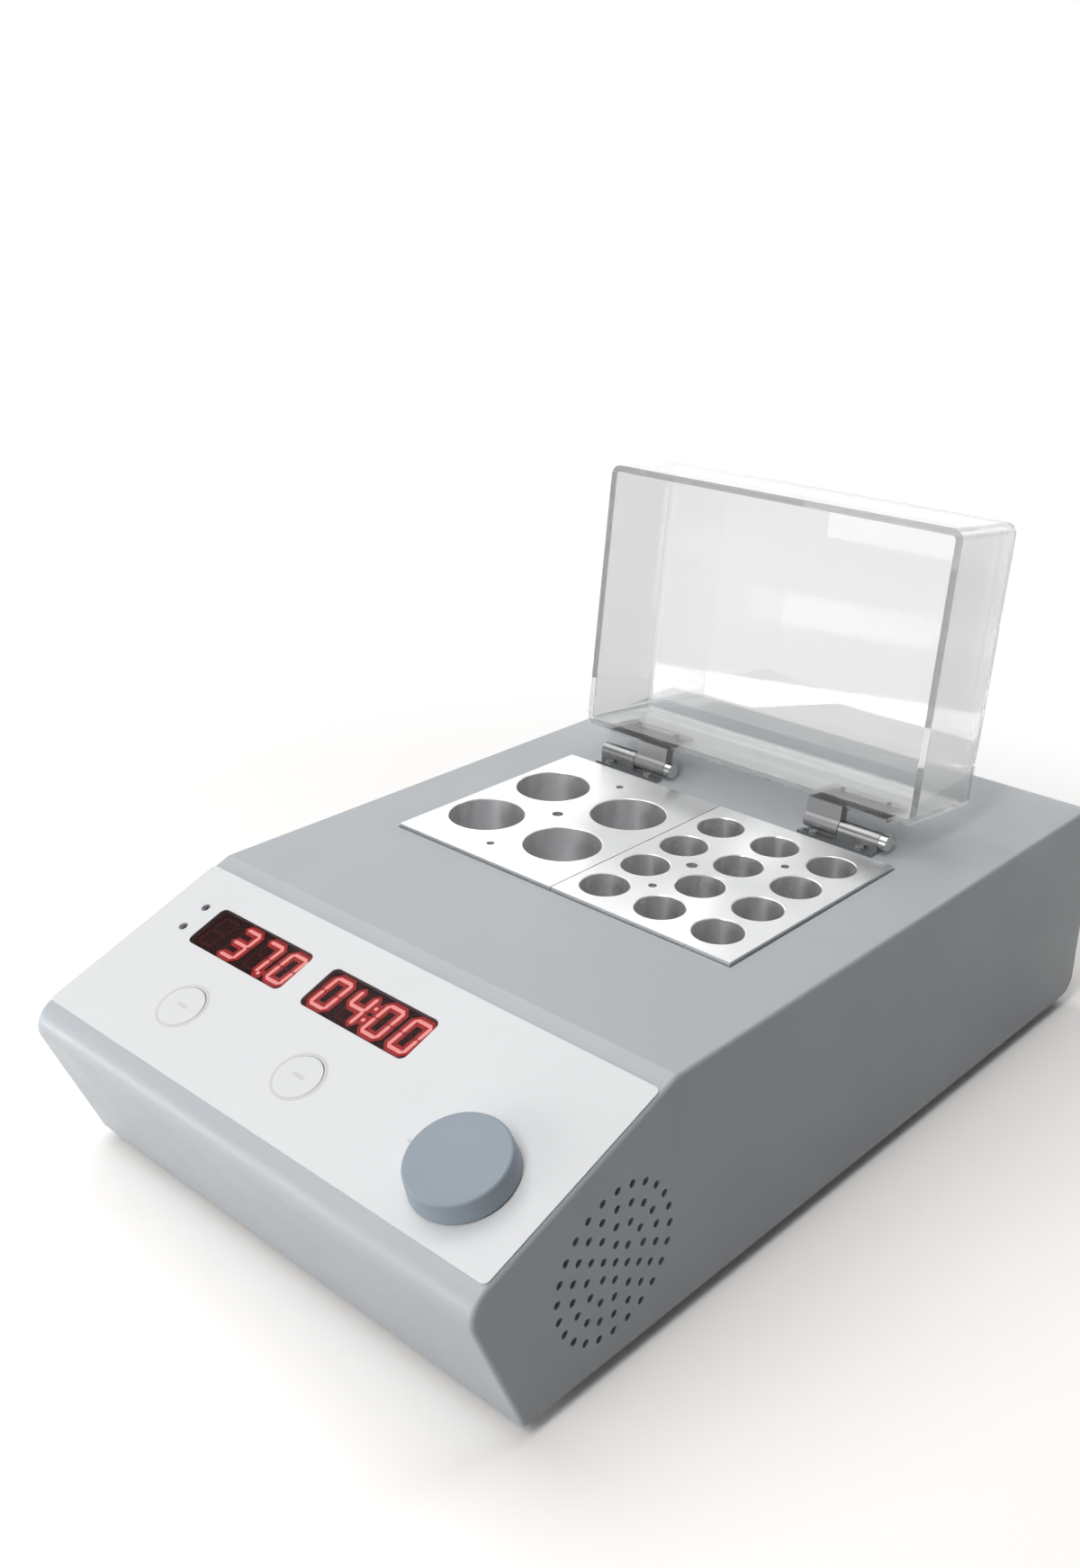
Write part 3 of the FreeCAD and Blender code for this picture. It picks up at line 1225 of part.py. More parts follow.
for k in range(6):
    y = "%s + (%s) * (heat_sink_length - fin_thickness) / 5" % (BOARD_Y, k - 2.5)
    fins.append(box("heat_sink_fin_%d" % (k + 1), "heat_sink_x", y, BOARD_TOP, "heat_sink_width",
                    "fin_thickness", "heat_sink_height"))
keep(join("heat_sink", web, *fins))

# Power inlet with its blades and screws, and the fuse drawer below the socket
INLET_FACE = "(%s + inlet_flange_thickness)" % REAR


def rear_box(name, x, z, face, width, depth, height):
    """Box about x and z that goes inwards from a face behind the rear wall."""
    low = "(%s) - (%s) / 2" % (z, height)
    return box(name, x, "(%s) - (%s) / 2" % (face, depth), low, width, depth, height)


flange = rear_box("inlet_flange", "inlet_x", INLET_Z, INLET_FACE, "inlet_flange_width",
                  "inlet_flange_thickness", "inlet_flange_height")
shell = rear_box("inlet_shell", "inlet_x", INLET_Z, INLET_FACE, "inlet_body_width",
                 "inlet_depth + inlet_flange_thickness", "inlet_body_height")
SOCKET_Z = INLET_Z + " + socket_up"
socket = rear_box("inlet_socket", "inlet_x", SOCKET_Z, INLET_FACE + " + 1", "socket_width", "socket_depth + 1",
                  "socket_height")
DRAWER_Z = INLET_Z + " - drawer_down"
drawer_bay = rear_box("drawer_bay", "inlet_x", DRAWER_Z, INLET_FACE + " + 1",
                      "drawer_width + 2 * drawer_play", "drawer_depth + drawer_play + 1",
                      "drawer_height + 2 * drawer_play")
inlet_tools = [socket, drawer_bay]
blades = []
for number, (i, rise) in enumerate([(-1, "0"), (0, "earth_rise"), (1, "0")], 1):
    x = "inlet_x + %d * blade_spacing / 2" % i
    z = "%s - earth_rise / 2 + %s" % (SOCKET_Z, rise)
    face = INLET_FACE + " - socket_depth + blade_reach"
    length = "blade_reach + inlet_depth + inlet_flange_thickness - socket_depth + blade_tail"
    blades.append(rear_box("inlet_blade_%d" % number, x, z, face, "blade_gauge", length, "blade_width"))
    inlet_tools.append(rear_box("blade_slot_%d" % number, x, z, face, "blade_gauge", length, "blade_width"))
for side in (-1, 1):
    inlet_tools.append(rod("inlet_eye_%s" % "rl"[side > 0], "inlet_x + %d * inlet_screw_spread / 2" % side,
                           REAR + " - 1", INLET_Z, "inlet_screw_radius", "inlet_flange_thickness + 2", along="y"))
keep(less("power_inlet", join("inlet_body", flange, shell), *inlet_tools))
keep(group("inlet_blades", blades))
inlet_screws = []
for number, side in enumerate((-1, 1), 1):
    inlet_screws.append(screw("inlet_screw_%d" % number, "inlet_x + %d * inlet_screw_spread / 2" % side,
                              INLET_FACE, INLET_Z, "inlet_screw_radius",
                              "inlet_flange_thickness + wall + inlet_screw_grip", "inlet_screw_head",
                              "inlet_screw_head_height", along="-y"))
keep(group("inlet_screws", inlet_screws))

drawer = rear_box("drawer_blank", "inlet_x", DRAWER_Z, INLET_FACE, "drawer_width", "drawer_depth",
                  "drawer_height")
FUSE_Y = INLET_FACE + " - drawer_depth / 2"
trough = rod("fuse_trough", "inlet_x - fuse_length / 2 - drawer_play", FUSE_Y, DRAWER_Z,
             "fuse_radius + drawer_play", "fuse_length + 2 * drawer_play", along="x")
slot = box("fuse_slot", "inlet_x", FUSE_Y, DRAWER_Z, "fuse_length + 2 * drawer_play",
           "2 * (fuse_radius + drawer_play)", "drawer_height")
keep(less("fuse_drawer", drawer, trough, slot))
keep(rod("fuse", "inlet_x - fuse_length / 2", FUSE_Y, DRAWER_Z, "fuse_radius", "fuse_length", along="x"))

# Rocker switch in the rear wall
ROCKER_FACE = "(%s + rocker_bezel_thickness)" % REAR
bezel = rear_box("rocker_bezel", "switch_x", INLET_Z, ROCKER_FACE, "rocker_bezel_width",
                 "rocker_bezel_thickness", "rocker_bezel_height")
case = rear_box("rocker_case", "switch_x", INLET_Z, ROCKER_FACE, "rocker_body_width",
                "rocker_body_depth + rocker_bezel_thickness", "rocker_body_height")
cavity = rear_box("rocker_cavity", "switch_x", INLET_Z, ROCKER_FACE + " + 1", "rocker_cavity_width",
                  "rocker_cavity_depth + 1", "rocker_cavity_height")
PIVOT_Y = ROCKER_FACE + " - rocker_pivot_depth"
PIN_HALF = "(rocker_body_width / 2 - rocker_pin_inset)"
seat = rod("rocker_pin_seat", "switch_x - %s - fit" % PIN_HALF, PIVOT_Y, INLET_Z,
           "rocker_pin_radius + pin_play", "2 * (%s + fit)" % PIN_HALF, along="x")
keep(less("rocker_switch_body", join("rocker_shell", bezel, case), cavity, seat))
rocker = new_body("rocker")
side_view = sketch(rocker, "YZ_Plane", "RockerProfile")
polygon(side_view, [
    ("-rocker_belly", "0"),
    ("0", "-rocker_half"),
    ("rocker_crest", "-rocker_half"),
    ("rocker_valley", "0"),
    ("rocker_crest", "rocker_half"),
    ("0", "rocker_half"),
])
pad(rocker, side_view, "rocker_width", "RockerBlock", both=True)
pivot = sketch(rocker, "YZ_Plane", "PivotPin")
circle(pivot, "0", "0", "rocker_pin_radius")
pad(rocker, pivot, "2 * " + PIN_HALF, "Pivot", both=True)
place(rocker, "switch_x", PIVOT_Y, INLET_Z, turn="rocker_tilt")
keep(rocker)

# Checks and files
doc.recompute()
for item in doc.Objects:
    if "Invalid" in item.State or "Error" in item.State:
        raise ValueError("%s did not build" % item.Label)
for name, item in parts.items():
    shape = item.Shape
    if shape.isNull() or not shape.isValid() or shape.Volume <= 0:
        raise ValueError("%s has no valid solid" % name)
    shape.exportStep("parts/%s.step" % name)
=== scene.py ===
# Dry bath incubator: finishes, display digits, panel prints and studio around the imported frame
import math

import bpy
from mathutils import Matrix, Vector


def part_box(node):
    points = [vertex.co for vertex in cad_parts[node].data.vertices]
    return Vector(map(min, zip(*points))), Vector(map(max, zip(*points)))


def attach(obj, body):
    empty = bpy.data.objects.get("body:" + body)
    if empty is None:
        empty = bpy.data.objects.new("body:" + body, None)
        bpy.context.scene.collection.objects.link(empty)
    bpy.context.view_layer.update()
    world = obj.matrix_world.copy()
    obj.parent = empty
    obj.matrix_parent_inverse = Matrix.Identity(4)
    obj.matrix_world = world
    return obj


bl_info = {
    "name": "Dry bath incubator",
    "version": (1, 0, 0),
    "blender": (4, 5, 0),
    "location": "View3D > Sidebar > Dry bath",
    "description": "Finishes and fine pieces of a bench dry bath with a hinged clear cover",
    "category": "Object",
}

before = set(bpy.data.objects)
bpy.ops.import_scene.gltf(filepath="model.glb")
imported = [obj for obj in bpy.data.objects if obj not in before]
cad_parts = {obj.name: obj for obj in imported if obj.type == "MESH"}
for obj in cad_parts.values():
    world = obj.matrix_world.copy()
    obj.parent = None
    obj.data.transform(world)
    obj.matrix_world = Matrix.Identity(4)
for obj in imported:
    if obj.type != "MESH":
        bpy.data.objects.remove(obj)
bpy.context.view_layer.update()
MM = 0.001

# Lean of the open cover in the photographed pose, and how deep the painted shade on its rim goes
LID_LEAN = math.radians(6.6)
RIM_SHADE_DEPTH = 0.3 * MM

# Slope of the control panel, worked out from its overlay sheet
SHEET_THICKNESS = 0.6 * MM
SHEET_LOW, SHEET_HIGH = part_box("panel_overlay")


def panel_tilt():
    """Angle of the overlay, found from the height and depth of its box and its thickness."""
    depth = SHEET_HIGH.y - SHEET_LOW.y
    height = SHEET_HIGH.z - SHEET_LOW.z
    tilt = math.atan2(height, depth)
    for _ in range(20):
        run = depth - SHEET_THICKNESS * math.sin(tilt)
        rise = height - SHEET_THICKNESS * math.cos(tilt)
        tilt = math.atan2(rise, run)
    return tilt


TILT = panel_tilt()
PANEL_START = Vector((0, SHEET_LOW.y, SHEET_LOW.z + SHEET_THICKNESS * math.cos(TILT)))
PANEL = Matrix.Translation(PANEL_START) @ Matrix.Rotation(TILT, 4, "X")


def on_panel(node):
    """Centre of a node in the panel's own frame: across, up the slope, out of it."""
    low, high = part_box(node)
    return PANEL.inverted() @ ((low + high) / 2)


def panel_reach(node):
    """How far a node stands out of the panel's surface."""
    return max((PANEL.inverted() @ vertex.co).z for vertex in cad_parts[node].data.vertices)


# Sizes and colours that a user may change

class PanelLook(bpy.types.PropertyGroup):
    """Digits of the displays and prints on the panel."""
    digit_height: bpy.props.FloatProperty(
        name="Digit height", description="Height of a display digit", default=13.4 * MM, unit="LENGTH")
    digit_width: bpy.props.FloatProperty(
        name="Digit width", description="Width of a display digit", default=8.0 * MM, unit="LENGTH")
    digit_pitch: bpy.props.FloatProperty(
        name="Digit pitch", description="Distance from one digit to the next", default=12.1 * MM,
        unit="LENGTH")
    stroke: bpy.props.FloatProperty(
        name="Stroke", description="Width of a digit's segment", default=1.3 * MM, unit="LENGTH")
    halo: bpy.props.FloatProperty(
        name="Halo", description="Width of the red glow round a segment", default=4.0 * MM, unit="LENGTH")
    slant: bpy.props.FloatProperty(
        name="Slant", description="Lean of the digits", default=math.radians(5), subtype="ANGLE")
    ring_width: bpy.props.FloatProperty(
        name="Key ring", description="Width of the ring printed round a key", default=1.2 * MM, unit="LENGTH")
    segment_colour: bpy.props.FloatVectorProperty(
        name="Segment", description="Colour of a lit segment", default=(1.0, 0.36, 0.34), subtype="COLOR")
    halo_colour: bpy.props.FloatVectorProperty(
        name="Halo colour", description="Red glow round a lit segment", default=(0.36, 0.004, 0.006),
        subtype="COLOR")


class FinishLook(bpy.types.PropertyGroup):
    """Colours of the surfaces that show."""
    housing: bpy.props.FloatVectorProperty(
        name="Housing", description="Grey of the painted housing", default=(0.440, 0.466, 0.490),
        subtype="COLOR")
    overlay: bpy.props.FloatVectorProperty(
        name="Overlay", description="White of the panel overlay", default=(0.71, 0.722, 0.73),
        subtype="COLOR")
    knob: bpy.props.FloatVectorProperty(
        name="Knob", description="Blue-grey of the rotary knob", default=(0.27, 0.315, 0.36), subtype="COLOR")
    bore: bpy.props.FloatVectorProperty(
        name="Bores", description="Colour of the bored walls of the blocks", default=(0.80, 0.80, 0.81),
        subtype="COLOR")
    block: bpy.props.FloatVectorProperty(
        name="Block", description="Bare metal of the heating blocks", default=(0.86, 0.865, 0.87),
        subtype="COLOR")
    acrylic: bpy.props.FloatVectorProperty(
        name="Acrylic", description="Tint of the clear cover", default=(0.75, 0.755, 0.75), subtype="COLOR")
    # Dark grey painted onto the clear cover's rim as painted shade
    rim: bpy.props.FloatVectorProperty(
        name="Cover rim", description="Grey of the cover's polished rim", default=(0.16, 0.165, 0.17),
        subtype="COLOR")


class StageLook(bpy.types.PropertyGroup):
    """Camera and brightness of the studio."""
    camera_place: bpy.props.FloatVectorProperty(
        name="Camera place", description="Where the camera stands", default=(0.32698, -0.39106, 0.33232),
        subtype="TRANSLATION")
    camera_turn: bpy.props.FloatVectorProperty(
        name="Camera turn", description="How the camera is turned",
        default=(math.radians(67.133), math.radians(-0.389), math.radians(43.070)), subtype="EULER")
    white: bpy.props.FloatProperty(
        name="Studio white", description="Brightness of the studio to the eye", default=1.0)
    mirror: bpy.props.FloatProperty(
        name="Mirrored white", description="Brightness of the screen behind the object in reflections",
        default=1.38)
    room: bpy.props.FloatProperty(
        name="Room", description="Brightness of the room's front and right in reflections", default=0.30)
    sky: bpy.props.FloatProperty(
        name="Studio light", description="Brightness of the studio as a source of light", default=0.03)
    focal_length: bpy.props.FloatProperty(
        name="Focal length", description="Focal length in millimetres on a 36 mm sensor", default=36.349)


# Selection and mesh helpers

def deselect():
    """Clears the selection."""
    bpy.ops.object.select_all(action="DESELECT")


def take(*objects):
    """Selects only these objects and makes the first one active."""
    deselect()
    for item in objects:
        item.select_set(True)
    bpy.context.view_layer.objects.active = objects[0]


def edit_mesh(item, mode):
    """Opens a mesh for editing with nothing selected."""
    take(item)
    bpy.ops.object.mode_set(mode="EDIT")
    bpy.ops.mesh.select_mode(type=mode)
    bpy.ops.mesh.select_all(action="DESELECT")
    bpy.ops.object.mode_set(mode="OBJECT")


def pick(elements, test):
    """Selects the faces or edges that pass a test."""
    for element in elements:
        element.select = test(element)


def edge_ends(item, edge):
    """Places of an edge's two ends."""
    return [item.data.vertices[k].co for k in edge.vertices]


def shape(action, **settings):
    """One edit-mode operator on what is selected."""
    bpy.ops.object.mode_set(mode="EDIT")
    action(**settings)
    bpy.ops.object.mode_set(mode="OBJECT")


def smooth(item, degrees=35):
    """Smooth shading that keeps edges sharper than an angle."""
    take(item)
    bpy.ops.object.shade_smooth_by_angle(angle=math.radians(degrees))


def settle(item, place=Matrix.Identity(4)):
    """Puts an item's place into its mesh and leaves the object at the origin."""
    take(item)
    bpy.ops.object.transform_apply(location=True, rotation=True, scale=True)
    item.data.transform(place)
    item.data.update()


def repeat(item, name):
    """A copy with a mesh of its own."""
    twin = item.copy()
    twin.data = item.data.copy()
    twin.name = name
    bpy.context.scene.collection.objects.link(twin)
    return twin


def unite(name, items):
    """Joins items into one piece with a name."""
    take(*items)
    if len(items) > 1:
        bpy.ops.object.join()
    result = bpy.context.view_layer.objects.active
    result.name = name
    result.data.name = name
    return result


def dress(item, body, material):
    """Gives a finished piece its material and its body."""
    item.data.materials.clear()
    item.data.materials.append(material)
    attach(item, body)


# Shader groups shared by several finishes

def new_group(name, inputs, outputs):
    """Empty shader group with its sockets, and its start and end nodes."""
    group = bpy.data.node_groups.new(name, "ShaderNodeTree")
    for label, kind, default in inputs:
        socket = group.interface.new_socket(label, in_out="INPUT", socket_type=kind)
        socket.default_value = default
    for label, kind in outputs:
        group.interface.new_socket(label, in_out="OUTPUT", socket_type=kind)
    start = group.nodes.new("NodeGroupInput")
    end = group.nodes.new("NodeGroupOutput")
    return group, start, end


def join_sockets(tree, *pairs):
    """Links each pair of an output and an input."""
    for source, target in pairs:
        tree.links.new(source, target)


def make_grain_group():
    """Fine moulded or sprayed texture: a height for bump."""
    group, start, end = new_group(
        "Fine grain",
        [("Size", "NodeSocketFloat", 1600.0), ("Softness", "NodeSocketFloat", 0.5)],
        [("Height", "NodeSocketFloat")])
    place = group.nodes.new("ShaderNodeTexCoord")
    noise = group.nodes.new("ShaderNodeTexNoise")
    noise.inputs["Detail"].default_value = 3
    join_sockets(
        group,
        (place.outputs["Object"], noise.inputs["Vector"]),
        (start.outputs["Size"], noise.inputs["Scale"]),
        (start.outputs["Softness"], noise.inputs["Roughness"]),
        (noise.outputs["Fac"], end.inputs["Height"]))
    return group


def make_tone_group():
    """Slow drift of a colour over a surface."""
    group, start, end = new_group(
        "Tone drift",
        [("Base", "NodeSocketColor", (0.5, 0.5, 0.5, 1)),
         ("Drift", "NodeSocketColor", (0.55, 0.55, 0.55, 1)),
         ("Size", "NodeSocketFloat", 14.0)],
        [("Colour", "NodeSocketColor")])
    place = group.nodes.new("ShaderNodeTexCoord")
    noise = group.nodes.new("ShaderNodeTexNoise")
    noise.inputs["Detail"].default_value = 2
    blend = group.nodes.new("ShaderNodeMix")
    blend.data_type = "RGBA"
    join_sockets(
        group,
        (place.outputs["Object"], noise.inputs["Vector"]),
        (start.outputs["Size"], noise.inputs["Scale"]),
        (noise.outputs["Fac"], blend.inputs["Factor"]),
        (start.outputs["Base"], blend.inputs["A"]),
        (start.outputs["Drift"], blend.inputs["B"]),
        (blend.outputs["Result"], end.inputs["Colour"]))
    return group


def make_handling_group():
    """Roughness that handling and wiping leave uneven."""
    group, start, end = new_group(
        "Handling",
        [("Clean", "NodeSocketFloat", 0.4), ("Handled", "NodeSocketFloat", 0.5),
         ("Size", "NodeSocketFloat", 30.0)],
        [("Roughness", "NodeSocketFloat")])
    place = group.nodes.new("ShaderNodeTexCoord")
    noise = group.nodes.new("ShaderNodeTexNoise")
    noise.inputs["Detail"].default_value = 5
    noise.inputs["Distortion"].default_value = 0.6
    spread = group.nodes.new("ShaderNodeMapRange")
    spread.inputs["From Min"].default_value = 0.35
    spread.inputs["From Max"].default_value = 0.65
    join_sockets(
        group,
        (place.outputs["Object"], noise.inputs["Vector"]),
        (start.outputs["Size"], noise.inputs["Scale"]),
        (noise.outputs["Fac"], spread.inputs["Value"]),
        (start.outputs["Clean"], spread.inputs["To Min"]),
        (start.outputs["Handled"], spread.inputs["To Max"]),
        (spread.outputs["Result"], end.inputs["Roughness"]))
    return group


RINGS_PER_METRE = 3000
STEEP = 0.5


def make_stroke_group():
    """Fine lines of milled metal, level rings on its upright walls, and a mask of those walls."""
    group, start, end = new_group(
        "Tool lines",
        [("Stretch", "NodeSocketVector", (40.0, 2500.0, 2500.0)), ("Rings", "NodeSocketFloat", 0.0)],
        [("Height", "NodeSocketFloat"), ("Wall", "NodeSocketFloat")])
    place = group.nodes.new("ShaderNodeTexCoord")
    mapping = group.nodes.new("ShaderNodeMapping")
    lines = group.nodes.new("ShaderNodeTexNoise")
    lines.inputs["Scale"].default_value = 1
    lines.inputs["Detail"].default_value = 4
    level = group.nodes.new("ShaderNodeMapping")
    level.inputs["Scale"].default_value = (0, 0, RINGS_PER_METRE)
    rings = group.nodes.new("ShaderNodeTexNoise")
    rings.inputs["Scale"].default_value = 1
    rings.inputs["Detail"].default_value = 1
    lie = group.nodes.new("ShaderNodeNewGeometry")
    split = group.nodes.new("ShaderNodeSeparateXYZ")
    steep = group.nodes.new("ShaderNodeMath")
    steep.operation = "ABSOLUTE"
    wall = group.nodes.new("ShaderNodeMath")
    wall.operation = "LESS_THAN"
    wall.inputs[1].default_value = STEEP
    depth = group.nodes.new("ShaderNodeMath")
    depth.operation = "MULTIPLY"
    total = group.nodes.new("ShaderNodeMath")
    total.operation = "MULTIPLY_ADD"
    join_sockets(
        group,
        (place.outputs["Object"], mapping.inputs["Vector"]),
        (start.outputs["Stretch"], mapping.inputs["Scale"]),
        (mapping.outputs["Vector"], lines.inputs["Vector"]),
        (place.outputs["Object"], level.inputs["Vector"]),
        (level.outputs["Vector"], rings.inputs["Vector"]),
        (lie.outputs["True Normal"], split.inputs["Vector"]),
        (split.outputs["Z"], steep.inputs[0]),
        (steep.outputs["Value"], wall.inputs[0]),
        (wall.outputs["Value"], depth.inputs[0]),
        (start.outputs["Rings"], depth.inputs[1]),
        (rings.outputs["Fac"], total.inputs[0]),
        (depth.outputs["Value"], total.inputs[1]),
        (lines.outputs["Fac"], total.inputs[2]),
        (total.outputs["Value"], end.inputs["Height"]),
        (wall.outputs["Value"], end.inputs["Wall"]))
    return group


GROUPS = {}


def use_group(tree, name, **values):
    """Node of a shared group with its values set."""
    node = tree.nodes.new("ShaderNodeGroup")
    node.node_tree = GROUPS[name]
    for label, value in values.items():
        node.inputs[label].default_value = value
    return node


def new_material(name, **plain):
    """Material with one Principled shader whose even values stand on its own sockets."""
    material = bpy.data.materials.new(name)
    material.use_nodes = True
    tree = material.node_tree
    tree.nodes.clear()
    output = tree.nodes.new("ShaderNodeOutputMaterial")
    surface = tree.nodes.new("ShaderNodeBsdfPrincipled")
    tree.links.new(surface.outputs["BSDF"], output.inputs["Surface"])
    for label, value in plain.items():
        surface.inputs[label.replace("_", " ")].default_value = value
    return material, tree, surface


def rgba(colour, factor=1.0):
    """Opaque colour, made lighter or darker by a factor."""
    return tuple(min(1.0, channel * factor) for channel in colour) + (1.0,)


def add_tone(tree, surface, colour, drift=1.05, size=14.0):
    """Gives a shader a base colour that drifts slowly."""
    tone = use_group(tree, "tone", Base=rgba(colour), Drift=rgba(colour, drift), Size=size)
    tree.links.new(tone.outputs["Colour"], surface.inputs["Base Color"])


def add_handling(tree, surface, clean, handled, size=30.0):
    """Gives a shader an uneven roughness between two values."""
    handling = use_group(tree, "handling", Clean=clean, Handled=handled, Size=size)
    tree.links.new(handling.outputs["Roughness"], surface.inputs["Roughness"])


def add_bump(tree, surface, height, strength, distance):
    """Turns a height into the shader's normal."""
    bump = tree.nodes.new("ShaderNodeBump")
    bump.inputs["Strength"].default_value = strength
    bump.inputs["Distance"].default_value = distance
    join_sockets(tree, (height, bump.inputs["Height"]), (bump.outputs["Normal"], surface.inputs["Normal"]))


def satin(name, colour, clean, handled, grain=1600.0, strength=0.12, drift=1.05, **plain):
    """Painted or moulded surface with fine grain and slightly uneven gloss."""
    material, tree, surface = new_material(name, **plain)
    add_tone(tree, surface, colour, drift)
    add_handling(tree, surface, clean, handled)
    texture = use_group(tree, "grain", Size=grain)
    add_bump(tree, surface, texture.outputs["Height"], strength, 0.05 * MM)
    return material


# How much smoother and less metallic a bored wall is than the milled top
WALL_ROUGHNESS = -0.04
WALL_METALLIC = -0.1


def add_walls(tree, surface, mask, colour):
    """Gives bored walls their own colour, roughness and metallic share."""
    tone = surface.inputs["Base Color"].links[0].from_socket
    gloss = surface.inputs["Roughness"].links[0].from_socket
    blend = tree.nodes.new("ShaderNodeMix")
    blend.data_type = "RGBA"
    blend.inputs["B"].default_value = rgba(colour)
    rough = tree.nodes.new("ShaderNodeMath")
    rough.operation = "MULTIPLY_ADD"
    rough.inputs[1].default_value = WALL_ROUGHNESS
    dull = tree.nodes.new("ShaderNodeMath")
    dull.operation = "MULTIPLY_ADD"
    dull.inputs[1].default_value = WALL_METALLIC
    dull.inputs[2].default_value = 1.0
    join_sockets(
        tree,
        (mask, blend.inputs["Factor"]),
        (tone, blend.inputs["A"]),
        (blend.outputs["Result"], surface.inputs["Base Color"]),
        (mask, rough.inputs[0]),
        (gloss, rough.inputs[2]),
        (rough.outputs["Value"], surface.inputs["Roughness"]),
        (mask, dull.inputs[0]),
        (dull.outputs["Value"], surface.inputs["Metallic"]))


def metal(name, colour, clean, handled, stretch, strength=0.15, rings=0.0, wall=None, **plain):
    """Bare metal with the lines that its tool left, and another colour on walls that were bored."""
    material, tree, surface = new_material(name, Metallic=1.0, **plain)
    add_tone(tree, surface, colour, 0.97, 22.0)
    add_handling(tree, surface, clean, handled, 45.0)
    lines = use_group(tree, "lines", Stretch=stretch, Rings=rings)
    add_bump(tree, surface, lines.outputs["Height"], strength, 0.02 * MM)
    if wall:
        add_walls(tree, surface, lines.outputs["Wall"], wall)
    return material


def clear(name, colour, clean, handled, **plain):
    """Clear or smoked plastic whose gloss is broken by faint smears."""
    material, tree, surface = new_material(name, IOR=1.49, **plain)
    surface.inputs["Base Color"].default_value = rgba(colour)
    add_handling(tree, surface, clean, handled, 18.0)
    return material


def paint_rim_shade(material, mouth, reach, colour):
    """Paints a dark grey band of painted shade on the flat rim round the cover's mouth."""
    tree = material.node_tree
    surface = tree.nodes["Principled BSDF"]
    place = tree.nodes.new("ShaderNodeTexCoord")
    depth = tree.nodes.new("ShaderNodeVectorMath")
    depth.operation = "DOT_PRODUCT"
    depth.inputs[1].default_value = mouth
    rim = tree.nodes.new("ShaderNodeMath")
    rim.operation = "GREATER_THAN"
    rim.inputs[1].default_value = reach
    blend = tree.nodes.new("ShaderNodeMix")
    blend.data_type = "RGBA"
    blend.inputs["A"].default_value = surface.inputs["Base Color"].default_value
    blend.inputs["B"].default_value = rgba(colour)
    join_sockets(
        tree,
        (place.outputs["Object"], depth.inputs[0]),
        (depth.outputs["Value"], rim.inputs[0]),
        (rim.outputs["Value"], blend.inputs["Factor"]),
        (blend.outputs["Result"], surface.inputs["Base Color"]))


def glow(name, colour, strength):
    """Lit segment of a display."""
    material, tree, surface = new_material(name, Roughness=0.5, Emission_Strength=strength)
    surface.inputs["Base Color"].default_value = rgba(colour, 0.5)
    tone = use_group(tree, "tone", Base=rgba(colour), Drift=rgba(colour, 0.9), Size=300.0)
    tree.links.new(tone.outputs["Colour"], surface.inputs["Emission Color"])
    return material


FINISH = {}


def coat(nodes, finish):
    """Gives CAD nodes a finish in every material place they have."""
    for name in nodes:
        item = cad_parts[name]
        if item.data.materials:
            for index in range(len(item.data.materials)):
                item.data.materials[index] = FINISH[finish]
        else:
            item.data.materials.append(FINISH[finish])


